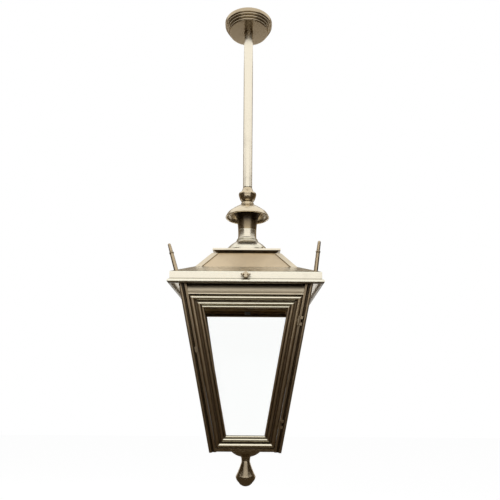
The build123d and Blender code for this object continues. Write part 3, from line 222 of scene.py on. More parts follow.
def soft_lamp(name, place, size, power):
    """A square lamp aimed at the lantern, hidden from the camera and from gloss."""
    lamp = bpy.data.lights.new(name, "AREA")
    lamp.shape = "SQUARE"
    lamp.size = size
    lamp.energy = power
    made = bpy.data.objects.new(name, lamp)
    made.location = place
    way = Vector(lamp_target) - Vector(place)
    made.rotation_euler = way.to_track_quat("-Z", "Y").to_euler()
    bpy.context.scene.collection.objects.link(made)
    made.visible_camera = False
    made.visible_glossy = False


soft_lamp("lamp_front", (-0.5, -2.6, 0.7), 1.6, 22.0)
soft_lamp("lamp_left", (-2.4, -0.6, 0.1), 1.0, 8.0)
soft_lamp("lamp_back", (0.9, 2.4, 0.6), 1.2, 10.0)


# The bracket, its nuts, the grub screws and the stem are zinc-plated steel strip
# and bar. They are screwed to the ceiling before the rose is pushed up over them,
# with the moulded terminal block fixed under the side tab.
def zinc(name, tone, rough):
    """Plated steel: pale crystals, a few dull spots and fine rolling marks."""
    made, tree = shader(name)
    place = node(tree, "ShaderNodeTexCoord", {}, out=3)
    flakes = node(tree, "ShaderNodeTexVoronoi", {}, Vector=place, Scale=420.0, out=0)
    cloud = node(tree, "ShaderNodeTexNoise", {}, Vector=place, Scale=55.0, Detail=6.0)
    rolled = node(tree, "ShaderNodeTexNoise", {}, Vector=place.stretched(40.0, 700.0, 700.0), Scale=1.0)
    dull = cloud.step(0.5, 0.72)
    colour = dull.mixed(tone, tuple(0.62 * c for c in tone))
    bump = node(tree, "ShaderNodeBump", {}, Strength=0.25, Distance=0.0002, Height=rolled + flakes * 0.4)
    surface(tree, node(tree, "ShaderNodeBsdfPrincipled", {}, Base_Color=colour, Metallic=1.0,
                       Roughness=rough + flakes * 0.12 + dull * 0.15, Normal=bump))
    return made


def dress(finish, *names):
    """Gives CAD nodes a finish in place of the one they came with."""
    for name in names:
        cad[name].data.materials.clear()
        cad[name].data.materials.append(finish)


zinc_plate = zinc("zinc_plate", (0.62, 0.62, 0.6), 0.32)
zinc_bar = zinc("zinc_bar", (0.68, 0.66, 0.58), 0.26)
dress(zinc_plate, "ceiling_bracket")
dress(zinc_bar, "rod_lock_nuts", "rose_screws", "crown_stem", "stem_nut", "base_nut")

block_black, tree = shader("moulded_black")
place = node(tree, "ShaderNodeTexCoord", {}, out=3)
fleck = node(tree, "ShaderNodeTexNoise", {}, Vector=place, Scale=900.0, Detail=3.0)
haze = node(tree, "ShaderNodeTexNoise", {}, Vector=place, Scale=40.0, Detail=4.0)
skin = node(tree, "ShaderNodeBump", {}, Strength=0.3, Distance=0.0002, Height=fleck)
surface(tree, node(tree, "ShaderNodeBsdfPrincipled", {}, Normal=skin, Roughness=0.38 + haze * 0.2,
                   Base_Color=haze.step(0.35, 0.75).mixed((0.028, 0.028, 0.03), (0.06, 0.058, 0.055))))
dress(block_black, "terminal_block", "lampholder")


# The ceiling rose: a spun brass cup with one deep band and three beads, held by
# two grub screws in its side. Like every brass piece it is toned, worn pale on
# its high edges, left dark with patina in its grooves, darkened with painted
# shade in its recesses and under overhangs, and lacquered.
def brass(name, grain, tone=(0.79, 0.7, 0.53), groove_and_shade_tone=(0.11, 0.075, 0.042), rough=0.27, grime_and_shade=1.0,
          shade_reach=0.011, under=None):
    """Toned brass; grain is turned, drawn, cast or sheet.

    The dark toning colour is both patina in the grooves and painted shade: ambient
    occlusion paints it as shade out of a hollow as far as the given reach, and under
    gives the two heights between which it thickens upwards as painted shade, both in
    metres.
    """
    made, tree = shader(name)
    place = node(tree, "ShaderNodeTexCoord", {}, out=3)
    relief = node(tree, "ShaderNodeAttribute", {"attribute_name": "relief"}, out=2)
    open_air = node(tree, "ShaderNodeAmbientOcclusion", {"samples": 6}, Distance=shade_reach, out=1)
    cloud = node(tree, "ShaderNodeTexNoise", {}, Vector=place, Scale=16.0, Detail=5.0, Roughness=0.6)
    speck = node(tree, "ShaderNodeTexNoise", {}, Vector=place, Scale=210.0, Detail=6.0, Roughness=0.65)
    # Painted shade from ambient occlusion, added to the patina that lies in the grooves.
    patina_and_shade = (1.0 - open_air).step(0.12, 0.8) * 0.8 + (relief * -1.0).clamp() * 0.85
    patina_and_shade = (patina_and_shade * (0.6 + speck * 0.8) * grime_and_shade + (cloud - 0.5).step(0.02, 0.24) * 0.12
              + speck.step(0.6, 0.72) * 0.16).clamp()
    # Painted shade that thickens upwards between two heights, under an overhang.
    if under:
        height = node(tree, "ShaderNodeSeparateXYZ", {}, place, out=2)
        patina_and_shade = (patina_and_shade + height.step(*under) * (0.85 + cloud * 0.3)).clamp()
    worn = relief.clamp() * (0.35 + cloud * 0.6)
    stretch = {
        "turned": (60.0, 60.0, 1500.0),
        "drawn": (900.0, 900.0, 14.0),
        "cast": (520.0, 520.0, 520.0),
        "sheet": (30.0, 900.0, 900.0),
    }[grain]
    marks = node(tree, "ShaderNodeTexNoise", {}, Vector=place.stretched(*stretch), Scale=1.0, Detail=4.0)
    bright = tuple(min(1.0, 1.14 * c + 0.02) for c in tone)
    colour = worn.mixed(patina_and_shade.mixed(tone, groove_and_shade_tone), bright)
    depth = 0.34 if grain == "cast" else 0.16
    bump = node(tree, "ShaderNodeBump", {}, Strength=depth, Distance=0.00025, Height=marks + speck * 0.5)
    surface(tree, node(tree, "ShaderNodeBsdfPrincipled", {}, Base_Color=colour, Metallic=1.0,
                       Roughness=rough + patina_and_shade * 0.12 + (cloud - 0.5) * 0.1 + (marks - 0.5) * 0.08,
                       Coat_Weight=0.3, Coat_Roughness=0.16, Normal=bump))
    return made


def arc(first, middle, last, count=10):
    """Points on the circle through three points, both ends included."""
    ax, ay = first
    bx, by = middle
    cx, cy = last
    d = 2 * (ax * (by - cy) + bx * (cy - ay) + cx * (ay - by))
    if abs(d) < 1e-9:
        return [first, last]
    sa, sb, sc = ax * ax + ay * ay, bx * bx + by * by, cx * cx + cy * cy
    ox = (sa * (by - cy) + sb * (cy - ay) + sc * (ay - by)) / d
    oy = (sa * (cx - bx) + sb * (ax - cx) + sc * (bx - ax)) / d
    radius = math.hypot(ax - ox, ay - oy)
    start = math.atan2(ay - oy, ax - ox)
    through = (math.atan2(by - oy, bx - ox) - start) % (2 * math.pi)
    sweep = (math.atan2(cy - oy, cx - ox) - start) % (2 * math.pi)
    if through > sweep:
        sweep -= 2 * math.pi
    turns = [start + sweep * i / count for i in range(count + 1)]
    return [(ox + radius * math.cos(turn), oy + radius * math.sin(turn)) for turn in turns]


def eased(points, radius, closed, spacing=1.6):
    """Rounds the corners of a run of points by a small radius, and adds points along it."""
    run = []
    count = len(points)
    for i, point in enumerate(points):
        if not closed and i in (0, count - 1):
            run.append(point)
            continue
        here, before, after = Vector(point), Vector(points[i - 1]), Vector(points[(i + 1) % count])
        back, on = before - here, after - here
        if back.length < 1e-6 or on.length < 1e-6:
            continue
        bend = math.pi - back.angle(on)
        if bend < 0.3:
            run.append(point)
            continue
        reach = min(radius, 0.4 * back.length, 0.4 * on.length)
        first, last = here + back.normalized() * reach, here + on.normalized() * reach
        for t in (0.0, 0.33, 0.67, 1.0):
            run.append(tuple(first * (1 - t) ** 2 + here * 2 * t * (1 - t) + last * t * t))
    fine = []
    total = len(run) if closed else len(run) - 1
    for i in range(total):
        first, last = Vector(run[i]), Vector(run[(i + 1) % len(run)])
        steps = max(1, int((last - first).length / spacing))
        fine += [tuple(first.lerp(last, k / steps)) for k in range(steps)]
    if not closed:
        fine.append(run[-1])
    return fine


def relief_of(points, closed, reach=2.6, full=0.35):
    """How far each point of a section stands out of (+) or lies below (-) its surroundings."""
    area = sum(points[i - 1][0] * points[i][1] - points[i][0] * points[i - 1][1] for i in range(len(points)))
    side = 1.0 if area > 0 else -1.0
    out = []
    count = len(points)
    for i in range(count):
        here = Vector(points[i])
        total, weight = Vector((0.0, 0.0)), 0.0
        for way in (-1, 1):
            gone, k, last = 0.0, i, here
            while gone < reach:
                k += way
                if not closed and not 0 <= k < count:
                    break
                point = Vector(points[k % count])
                step = (point - last).length
                left = min(step, reach - gone)
                share = left * (1.0 - (gone + left / 2) / reach)
                total += (last + point) / 2 * share
                weight += share
                gone += step
                last = point
                if k % count == i:
                    break
        before = Vector(points[(i - 1) % count if closed or i > 0 else 0])
        after = Vector(points[(i + 1) % count if closed or i < count - 1 else i])
        along = (after - before).normalized() if (after - before).length > 1e-9 else Vector((1.0, 0.0))
        outwards = Vector((along.y, -along.x)) * side
        rise = (here - total / weight).dot(outwards) / full if weight else 0.0
        out.append(max(-1.0, min(1.0, rise)))
    return out


def finished(name, points, faces, relief, finish, body, stands_for):
    """Makes a piece in metres from millimetres, with its relief, finish and place on a body."""
    mesh = bpy.data.meshes.new(name)
    mesh.from_pydata([tuple(c / 1000.0 for c in p) for p in points], [], faces)
    mesh.attributes.new("relief", "FLOAT", "POINT").data.foreach_set("value", relief)
    shape = bmesh.new()
    shape.from_mesh(mesh)
    bmesh.ops.recalc_face_normals(shape, faces=shape.faces)
    if shape.calc_volume(signed=True) < 0:
        bmesh.ops.reverse_faces(shape, faces=shape.faces)
    shape.to_mesh(mesh)
    shape.free()
    mesh.shade_smooth()
    mesh.set_sharp_from_angle(angle=math.radians(38.0))
    mesh.materials.append(finish)
    made = bpy.data.objects.new(name, mesh)
    bpy.context.scene.collection.objects.link(made)
    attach(made, body)
    if stands_for:
        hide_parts(*stands_for)
    return made


def turned(name, profile, finish, stands_for, closed=True, ease=0.5, foot=(0, 0, 0), way=(0, 0, 1),
           sides=112):
    """A lathe piece: profile of (radius, height) turned about a line, in millimetres."""
    run = eased(profile, ease, closed)
    relief_run = relief_of(run, closed)
    way = Vector(way).normalized()
    across = way.orthogonal().normalized() if abs(way.z) < 0.999 else Vector((1, 0, 0))
    beside = way.cross(across)
    points, relief, rings = [], [], []
    for (radius, height), level in zip(run, relief_run):
        if radius < 1e-6:
            rings.append([len(points)] * sides)
            points.append(tuple(Vector(foot) + way * height))
            relief.append(level)
            continue
        rings.append(list(range(len(points), len(points) + sides)))
        for k in range(sides):
            turn = 2 * math.pi * k / sides
            spoke = across * math.cos(turn) + beside * math.sin(turn)
            points.append(tuple(Vector(foot) + way * height + spoke * radius))
            relief.append(level)
    faces = []
    for i in range(len(rings) if closed else len(rings) - 1):
        first, second = rings[i], rings[(i + 1) % len(rings)]
        for k in range(sides):
            corner = [first[k], first[(k + 1) % sides], second[(k + 1) % sides], second[k]]
            face = [v for n, v in enumerate(corner) if v not in corner[:n]]
            if len(face) > 2:
                faces.append(face)
    return finished(name, points, faces, relief, finish, "lantern", stands_for)


turned_brass = brass("turned_brass", "turned", tone=(0.52, 0.42, 0.28), rough=0.24, shade_reach=0.02)
rose_radius, rose_band, rose_draft, rose_lip, rose_wall = 52.2, 6.6, 1.0, 0.9, 1.5
bead_count, bead_pitch, bead_gap, bead_set_in, bead_draft, bead_bulge = 3, 4.1, 0.8, 2.5, 0.45, 0.9
rose_depth = rose_band + bead_count * bead_pitch + rose_lip
rod_hole = 10.2
edge, level = rose_radius - rose_draft, -rose_band
rose_profile = [(rose_radius, 0), (edge, level)]
for bead in range(bead_count):
    first = (edge - bead_set_in, level - bead_gap)
    last = (first[0] - bead_draft, level - bead_pitch)
    rose_profile += arc(first, ((first[0] + last[0]) / 2 + bead_bulge, (first[1] + last[1]) / 2), last, 6)
    edge, level = last
rose_profile += [(edge - bead_draft, -rose_depth), (rod_hole, -rose_depth)]
rose_profile += [(rod_hole, rose_wall - rose_depth), (40.8, rose_wall - rose_depth)]
rose_profile += [(48.7, rose_lip - rose_band)]
rose_profile += [(rose_radius - rose_wall, rose_lip - rose_band), (rose_radius - rose_wall, 0)]
turned("rose_skin", rose_profile, turned_brass, ["ceiling_rose"], ease=0.6)

# The rod: drawn brass tube, 20 mm across, through the rose and into the bracket's
# nuts. Its lower end takes the knuckle's spigot.
drawn_brass = brass("drawn_brass", "drawn", tone=(0.92, 0.84, 0.68), rough=0.25, grime_and_shade=0.7)
rod_radius, rod_bore, rod_top, rod_foot = 10.0, 8.4, -3.0, -364.0
rod_profile = [(rod_radius, height) for height in (rod_top, -100.0, -200.0, -300.0, rod_foot)]
rod_profile += [(rod_bore, rod_foot), (rod_bore, rod_top)]
turned("rod_skin", rod_profile, drawn_brass, ["suspension_rod"], ease=0.3)

# The knuckle: turned from bar, a flared cone above a sharp rim, a bowl that draws
# in to a waist, and a foot ring on the cowl.
ring_top = rod_foot - 12.4
ring_foot = ring_top - 6.0
waist = ring_foot - 13.8
cowl_top = waist - 7.1
spigot_radius, spigot_top = 8.2, rod_foot + 14.0
wire_bore, stem_hole, stem_top = 3.6, 5.2, cowl_top + 20.2
knuckle_profile = [(wire_bore, spigot_top), (spigot_radius, spigot_top), (spigot_radius, rod_foot)]
knuckle_profile += [(rod_radius, rod_foot)]
knuckle_profile += arc((rod_radius, rod_foot), (12.31, rod_foot - 6.2), (15.5, ring_top + 1.2))
knuckle_profile += [(14.3, ring_top + 1.2), (14.3, ring_top)]
knuckle_profile += arc((18.8, ring_top), (19.4, ring_top - 3.0), (18.6, ring_foot), 6)
knuckle_profile += arc((18.6, ring_foot), (16.2, ring_foot - 7.46), (11.8, waist))[1:]
knuckle_profile += [(13.0, waist - 1.0), (14.2, waist - 2.5), (14.2, cowl_top)]
knuckle_profile += [(stem_hole, cowl_top), (stem_hole, stem_top), (wire_bore, stem_top)]
knuckle_brass = brass("knuckle_brass", "turned", tone=(0.68, 0.56, 0.38), groove_and_shade_tone=(0.06, 0.042, 0.022),
                      rough=0.24)
turned("knuckle_skin", knuckle_profile, knuckle_brass, ["rod_knuckle"], ease=0.35)

# The crown: a spun bell cowl with a rolled rim, a cup that flares up into it, and a
# cast collar with a neck, a bead and a skirt. The stem clamps all three.
spun_brass = brass("spun_brass", "turned", tone=(0.8, 0.69, 0.5), groove_and_shade_tone=(0.07, 0.048, 0.026), rough=0.29,
                   shade_reach=0.02)
cowl_foot, cup_seat = cowl_top - 28.2, cowl_top - 1.6
cowl_neck, cowl_shoulder, cowl_edge = (16.6, cowl_top), (40.8, cowl_top - 15.3), (47.35, cowl_foot + 3.4)
cowl_hollow = (39.2, cowl_foot + 11.3)
cowl_profile = [(stem_hole, cowl_top), cowl_neck]
cowl_profile += arc(cowl_neck, (29.2, cowl_top - 7.2), cowl_shoulder)[1:]
cowl_profile += arc(cowl_shoulder, (44.8, cowl_top - 20.1), cowl_edge)[1:]
cowl_profile += arc(cowl_edge, (48.2, cowl_foot + 1.7), (46.5, cowl_foot), 8)[1:]
cowl_profile += arc((45.14, cowl_foot + 1.7), (43.0, cowl_foot + 7.3), cowl_hollow)
cowl_profile += arc(cowl_hollow, (28.2, cup_seat - 7.2), (cowl_neck[0], cup_seat))[1:]
cowl_profile += [(stem_hole, cup_seat)]
turned("cowl_skin", cowl_profile, spun_brass, ["bell_cowl"], ease=0.4)
cup_top = cowl_foot + 11.0
cup_throat = cup_top - 16.5
cup_foot = cup_top - 38.8
cup_floor = cup_foot + 6.0
cup_profile = arc((30.0, cup_top), (24.98, cup_top - 8.91), (22.4, cup_throat))
cup_profile += arc((22.4, cup_throat), (21.0, cup_throat - 11.15), (20.2, cup_foot))[1:]
cup_profile += [(stem_hole, cup_foot), (stem_hole, cup_seat), (13.6, cup_seat), (13.6, cup_floor)]
cup_profile += [(17.6, cup_floor), (20.4, cup_throat)]
cup_profile += arc((20.4, cup_throat), (23.18, cup_top - 8.11), (28.0, cup_top))[1:]
# The cup takes a dark copy of the turned brass that darkens further towards its top, as painted shade inside
# the bell cowl.
shaded_cup_brass = brass("shaded_cup_brass", "turned", tone=(0.56, 0.44, 0.27), groove_and_shade_tone=(0.04, 0.027, 0.014), rough=0.24,
                  grime_and_shade=1.2, shade_reach=0.03, under=(-0.475, -0.418))
turned("cup_skin", cup_profile, shaded_cup_brass, ["crown_cup"], ease=0.4)
cast_brass = brass("cast_brass", "cast", tone=(0.93, 0.85, 0.68), rough=0.26, grime_and_shade=0.6)
neck_foot = cup_foot - 18.6
bead_foot = neck_foot - 5.2
dome_top = bead_foot - 2.4
dome_foot = dome_top - 16.7
collar_foot = cup_foot - 57.1
rim_radius, rim_top, rim_foot = 47.6, dome_foot - 1.2, collar_foot + 4.4
collar_bore, collar_hollow, collar_web = 42.0, 14.0, cup_foot - 4.0
collar_profile = [(stem_hole, cup_foot)]
collar_profile += arc((20.4, cup_foot), (20.0, (cup_foot + neck_foot) / 2), (20.6, neck_foot))
collar_profile += arc((21.2, neck_foot), (23.0, (neck_foot + bead_foot) / 2), (21.2, bead_foot), 8)
collar_profile += [(24.6, bead_foot), (24.6, dome_top)]
collar_profile += arc((24.6, dome_top), (35.81, dome_top - 7.12), (45.0, dome_foot))[1:]
collar_profile += [(45.0, rim_top)]
collar_profile += arc((46.8, rim_top), (rim_radius, (rim_top + rim_foot) / 2), (46.8, rim_foot), 8)
collar_profile += [(50.4, rim_foot), (50.4, collar_foot), (collar_bore, collar_foot)]
collar_profile += [(collar_bore, collar_foot + 13.6), (collar_hollow, bead_foot - 4.4)]
collar_profile += [(collar_hollow, collar_web), (stem_hole, collar_web)]
turned("collar_skin", collar_profile, cast_brass, ["crown_collar"], ease=0.5)


# Three round-head screws fix the collar to the ring that stands up inside it, one
# at the front right. Steel, toned dark, each with a plain slot.
def screw_mesh(finish, head=2.4, rise=1.7, shank=1.5, length=7.0, sides=36):
    """One slotted screw in millimetres, head outwards along +Z, its seat at the origin."""
    outline = arc((0.0, rise), (1.55, 1.25), (head, 0.35), 8)
    outline += [(head, 0.0), (shank, 0.0), (shank, -length), (0.0, -length)]
    shape = bmesh.new()
    rings = []
    for radius, height in eased(outline, 0.15, False):
        count = 1 if radius < 1e-6 else sides
        ring = []
        for k in range(count):
            turn = 2 * math.pi * k / sides
            ring.append(shape.verts.new((radius / 1000 * math.cos(turn), radius / 1000 * math.sin(turn),
                                         height / 1000)))
        rings.append(ring * (sides // count))
    for first, second in zip(rings, rings[1:]):
        for k in range(sides):
            corners = [first[k], first[(k + 1) % sides], second[(k + 1) % sides], second[k]]
            shape.faces.new([v for n, v in enumerate(corners) if v not in corners[:n]])
    bmesh.ops.recalc_face_normals(shape, faces=shape.faces)
    mesh = bpy.data.meshes.new("screw")
    shape.to_mesh(mesh)
    shape.free()
    mesh.shade_smooth()
    mesh.set_sharp_from_angle(angle=math.radians(40.0))
    mesh.materials.append(finish)
    slot_shape = bmesh.new()
    slot_place = Matrix.Translation((0, 0, rise / 1000)) @ Matrix.Diagonal((0.0006, 0.006, 0.0016, 1.0))
    bmesh.ops.create_cube(slot_shape, size=1.0, matrix=slot_place)
    slot_block = bpy.data.meshes.new("slot_block")
    slot_shape.to_mesh(slot_block)
    slot_shape.free()
    screw = bpy.data.objects.new("screw", mesh)
    cutter = bpy.data.objects.new("slot_block", slot_block)
    for made in (screw, cutter):
        bpy.context.scene.collection.objects.link(made)
    cut = screw.modifiers.new("slot", "BOOLEAN")
    cut.object = cutter
    cut.operation = "DIFFERENCE"
    cut.solver = "EXACT"
    slotted = bpy.data.meshes.new_from_object(screw.evaluated_get(bpy.context.evaluated_depsgraph_get()))
    for made in (screw, cutter):
        bpy.data.objects.remove(made)
    return slotted


def ring_of_screws():
    """Node group: one object set round a circle, its +Z pointing out from the middle."""
    group = bpy.data.node_groups.new("ring_of_screws", "GeometryNodeTree")
    sockets = {}
    for name, kind in (("Geometry", "Geometry"), ("Screw", "Object"), ("Count", "Int"), ("Radius", "Float"),
                       ("Turn", "Float"), ("Height", "Float"), ("Finish", "Material")):
        made = group.interface.new_socket(name, in_out="INPUT", socket_type="NodeSocket" + kind)
        sockets[name] = made.identifier
    group.interface.new_socket("Geometry", in_out="OUTPUT", socket_type="NodeSocketGeometry")
    inlet = group.nodes.new("NodeGroupInput")
    given = {name: Socket(group, inlet.outputs[name]) for name in sockets}
    circle = node(group, "GeometryNodeMeshCircle", {}, given["Count"], given["Radius"])
    turn = node(group, "ShaderNodeCombineXYZ", {}, 0.0, 0.0, given["Turn"])
    lift = node(group, "ShaderNodeCombineXYZ", {}, 0.0, 0.0, given["Height"])
    placed = node(group, "GeometryNodeTransform", {}, Geometry=circle, Translation=lift, Rotation=turn)
    here = node(group, "GeometryNodeInputPosition", {})
    spoke = here.stretched(1.0, 1.0, 0.0)
    out = node(group, "FunctionNodeAlignRotationToVector", {"axis": "Z"}, Vector=spoke)
    screw = node(group, "GeometryNodeObjectInfo", {}, given["Screw"], out=4)
    several = node(group, "GeometryNodeInstanceOnPoints", {}, Points=placed, Instance=screw, Rotation=out)
    solid = node(group, "GeometryNodeRealizeInstances", {}, several)
    coated = node(group, "GeometryNodeSetMaterial", {}, Geometry=solid, Material=given["Finish"])
    group.links.new(coated.link, group.nodes.new("NodeGroupOutput").inputs["Geometry"])
    return group, sockets


toned_steel = zinc("toned_steel", (0.34, 0.27, 0.18), 0.3)
screw = bpy.data.objects.new("screw_form", screw_mesh(toned_steel))
host = bpy.data.objects.new("crown_screw_set", bpy.data.meshes.new("crown_screw_host"))
for made in (screw, host):
    bpy.context.scene.collection.objects.link(made)
group, sockets = ring_of_screws()
repeat = host.modifiers.new("ring", "NODES")
repeat.node_group = group
first_turn, screw_height = math.radians(-46.0), collar_foot + 10.6
for name, value in (("Screw", screw), ("Count", 3), ("Radius", rim_radius / 1000), ("Turn", first_turn),
                    ("Height", screw_height / 1000), ("Finish", toned_steel)):
    repeat[sockets[name]] = value
screws = bpy.data.objects.new("crown_screw_skin", bpy.data.meshes.new_from_object(
    host.evaluated_get(bpy.context.evaluated_depsgraph_get())))
bpy.context.scene.collection.objects.link(screws)
for made in (screw, host):
    bpy.data.objects.remove(made)
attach(screws, "lantern")
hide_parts("crown_screws")

# The cap plate and the hip roof: pressed and folded sheet, clamped under the collar
# by the stem's nut. Four folded straps cover the roof's corner seams.
sheet_brass = brass("sheet_brass", "sheet", tone=(0.93, 0.84, 0.66), rough=0.27, grime_and_shade=0.5)
# The roof takes a darker copy of the sheet brass as painted shade on its slopes.
shaded_roof_brass = brass("shaded_roof_brass", "sheet", tone=(0.7, 0.56, 0.37), rough=0.33)
strap_brass = brass("strap_brass", "drawn", tone=(0.76, 0.66, 0.49), rough=0.28)
dress(sheet_brass, "cap_plate")
dress(shaded_roof_brass, "hip_roof")
dress(strap_brass, "hip_straps")


# The eaves tray: one folded section with a sloped top, an upright fascia, a rolled
# lip and an inner flange, mitred and soldered at its four corners.
def square_ring(name, section, finish, stands_for, ease, shaded_below):
    """A mitred square ring from a section of (distance out, height), darkened with painted shade below a
    given height.
    """
    run = eased(section, ease, True)
    # Points below the given height take a deep negative relief, so the dark toning paints shade on the
    # underside.
    painted_shade_level = -1.1
    levels = [painted_shade_level if point[1] < shaded_below else level for point, level in zip(run, relief_of(run, True))]
    points, relief, faces = [], [], []
    for sign_x, sign_y in ((1, -1), (1, 1), (-1, 1), (-1, -1)):
        points += [(sign_x * out, sign_y * out, z) for out, z in run]
        relief += levels
    count = len(run)
    for corner in range(4):
        first, second = corner * count, ((corner + 1) % 4) * count
        for i in range(count):
            j = (i + 1) % count
            faces.append((first + i, first + j, second + j, second + i))
    return finished(name, points, faces, relief, finish, "lantern", stands_for)


tray_brass = brass("tray_brass", "sheet", tone=(0.95, 0.88, 0.72), groove_and_shade_tone=(0.07, 0.05, 0.028), rough=0.27,
                   grime_and_shade=0.75)
spike_brass = brass("spike_brass", "turned", tone=(0.5, 0.39, 0.25), groove_and_shade_tone=(0.07, 0.048, 0.026), rough=0.25,
                    grime_and_shade=1.2)
sheet, slope_top, fascia_out, lip_out = 1.6, 103.3, 148.2, 152.9
roof_foot = collar_foot - 46.0
fascia_top = roof_foot - 19.8
fascia_foot = fascia_top - 14.5
lip_foot = fascia_foot - 8.6
flange_foot = lip_foot + 5.9
fascia_in, lip_start, flange_in = fascia_out - sheet, fascia_out + 1.41, 120.5
tray_section = [(99.3, roof_foot), (slope_top, roof_foot), (fascia_out, fascia_top)]
tray_section += [(fascia_out, fascia_foot)]
lip_middle = (lip_out, (fascia_foot + lip_foot) / 2)
tray_section += arc((lip_start, fascia_foot), lip_middle, (lip_start, lip_foot), 12)
tray_section += [(fascia_in, lip_foot), (fascia_in, flange_foot), (flange_in, flange_foot)]
tray_section += [(flange_in, flange_foot + sheet), (fascia_in, flange_foot + sheet)]
tray_section += [(fascia_in, fascia_top - 1.04), (slope_top, roof_foot - 1.75), (99.3, roof_foot - 1.75)]
# The tray's underside, below a height just above the lip's foot, is darkened as painted shade.
square_ring("tray_skin", tray_section, tray_brass, ["eaves_tray"], 0.45, lip_foot + 2.1)

# Four turned spikes stand on the eaves, each bent its own way by handling, and a
# cast thumb catch with two wings holds the cage at the middle of the front.
spike_reach, spike_foot = 137.0, -577.26
spike_profile = [(0.0, -8.0), (4.2, -8.0), (4.05, 14.0), (3.86, 35.6), (4.7, 36.8), (4.7, 38.0), (3.5, 39.2)]
spike_profile += arc((3.1, 55.9), (2.19, 58.09), (0.0, 59.0), 8)
spike_leans = {
    "front_left": (-1, -1, 16.5, 14.0),
    "front_right": (1, -1, 6.5, 0.0),
    "back_left": (-1, 1, 12.0, 0.0),
    "back_right": (1, 1, 12.0, 0.0),
}
for corner, (sign_x, sign_y, out, back) in spike_leans.items():
    lean = (sign_x * math.tan(math.radians(out)), math.tan(math.radians(back)), 1.0)
    turned("spike_" + corner, spike_profile, spike_brass, ["corner_finial_" + corner], closed=False, ease=0.3,
           foot=(sign_x * spike_reach, sign_y * spike_reach, spike_foot), way=lean, sides=40)
catch_brass = brass("catch_brass", "cast", tone=(0.66, 0.55, 0.38), rough=0.3, grime_and_shade=0.6)
dress(catch_brass, "thumb_catch")

# The cage: a top ring with a frieze hangs from the tray, and four cast posts, each
# with a corner bead and a cove, lean in from it to the base.
# The frieze's colour darkens towards its top as painted shade under the eaves' lip.
frieze_brass = brass("frieze_brass", "sheet", tone=(0.93, 0.8, 0.58), groove_and_shade_tone=(0.05, 0.035, 0.02), rough=0.4,
                     grime_and_shade=0.6, shade_reach=0.004, under=(-0.6185, -0.6025))
# The posts take a dark copy of the cast brass with a wide ambient-occlusion reach, as painted shade on the
# side-facing posts and under the eaves.
shaded_post_brass = brass("shaded_post_brass", "cast", tone=(0.42, 0.32, 0.2), groove_and_shade_tone=(0.06, 0.042, 0.024), rough=0.3,
                   grime_and_shade=1.2, shade_reach=0.04)
dress(frieze_brass, "top_ring")
body_half_top, body_half_low, body_height = 133.3, 75.7, 341.6
taper = (body_half_top - body_half_low) / body_height
post_width = 15.5
post_top = flange_foot - sheet
post_foot = flange_foot - body_height - 2.6
foot_slope = 0.18138


def half_at(z):
    """Half width over the posts at a height, in millimetres."""
    return body_half_top + (z - flange_foot) * taper


bead_radius, bead_start, bead_sweep, bead_steps = 3.3, 19, -308, 26
turns = [math.radians(bead_start + bead_sweep * i / bead_steps) for i in range(bead_steps + 1)]
bead_points = [(bead_radius * (1 + math.cos(turn)), bead_radius * (1 + math.sin(turn))) for turn in turns]
post_section = [(post_width, post_width), (post_width, 2.0)] + arc((11.0, 2.0), (8.2, 4.5), (6.5, 4.5), 6)
post_section += bead_points + arc((4.5, 6.5), (4.5, 8.2), (2.0, 11.0), 6) + [(2.0, post_width)]
post_run = eased(post_section, 0.3, True)
post_relief = relief_of(post_run, True)
for corner, sign_x, sign_y in (("front_left", -1, -1), ("front_right", 1, -1), ("back_left", -1, 1),
                               ("back_right", 1, 1)):
    points, faces = [], []
    count = len(post_run)
    stages = 8
    for stage in range(stages + 1):
        for a, b in post_run:
            foot_z = post_foot + foot_slope * (a + b) / 2
            z = foot_z + (post_top - foot_z) * stage / stages
            points.append((sign_x * (half_at(z) - a), sign_y * (half_at(z) - b), z))
    for stage in range(stages):
        for i in range(count):
            j = (i + 1) % count
            first, second = stage * count, (stage + 1) * count
            faces.append((first + i, first + j, second + j, second + i))
    faces += [tuple(range(count)), tuple(range(stages * count, (stages + 1) * count))]
    finished("post_skin_" + corner, points, faces, post_relief * (stages + 1), shaded_post_brass, "lantern",
             ["corner_post_" + corner])

# The frames: mitred lengths of moulding, three beads on the door and one on the
# fixed sides, with a pane behind each held in its rebate by plated clips.
rail_brass = brass("rail_brass", "drawn", tone=(0.95, 0.85, 0.66), groove_and_shade_tone=(0.06, 0.042, 0.022), rough=0.21)
# A dark copy of the rails' drawn brass, as painted shade on the stiles and on the fixed sides' frames.
shaded_stile_brass = brass("shaded_stile_brass", "drawn", tone=(0.41, 0.31, 0.19), groove_and_shade_tone=(0.13, 0.09, 0.05), rough=0.3,
                    grime_and_shade=0.9)
door_section = [(0.0, -9.0)] + arc((0.0, 0.3), (4.75, 3.9), (9.5, 0.3), 12) + [(9.5, -1.6), (13.0, -1.6)]
door_section += arc((13.0, -0.6), (16.25, 1.6), (19.5, -0.6), 10) + [(19.5, -2.4), (20.4, -2.4)]
door_section += arc((20.4, -1.5), (22.8, 0.5), (25.2, -1.9), 10) + [(25.2, -6.0), (17.2, -6.0), (17.2, -9.0)]
slim_section = [(0.0, -9.0)] + arc((0.0, 0.3), (4.75, 3.9), (9.5, 0.3), 12)
slim_section += [(9.5, -0.6), (12.4, -0.6), (12.4, -6.0), (6.4, -6.0), (6.4, -9.0)]
base_top, slot_top = flange_foot - body_height + 7.0, post_top - 21.0
lean_angle = math.atan(taper)
frame_recess, mitre_gap = 4.0, 0.1


def frame_outline(side_gap, foot_gap, top_gap, origin_z):
    """Outer corners of a frame in its own plane, anticlockwise from the lower left."""
    low = foot_gap + (base_top - origin_z) / math.cos(lean_angle)
    high = (slot_top - origin_z) / math.cos(lean_angle) - top_gap
    halves = [half_at(origin_z + y * math.cos(lean_angle)) - post_width - side_gap for y in (low, high)]
    corners = ((-halves[0], low), (halves[0], low), (halves[1], high), (-halves[1], high))
    return [Vector(corner) for corner in corners]


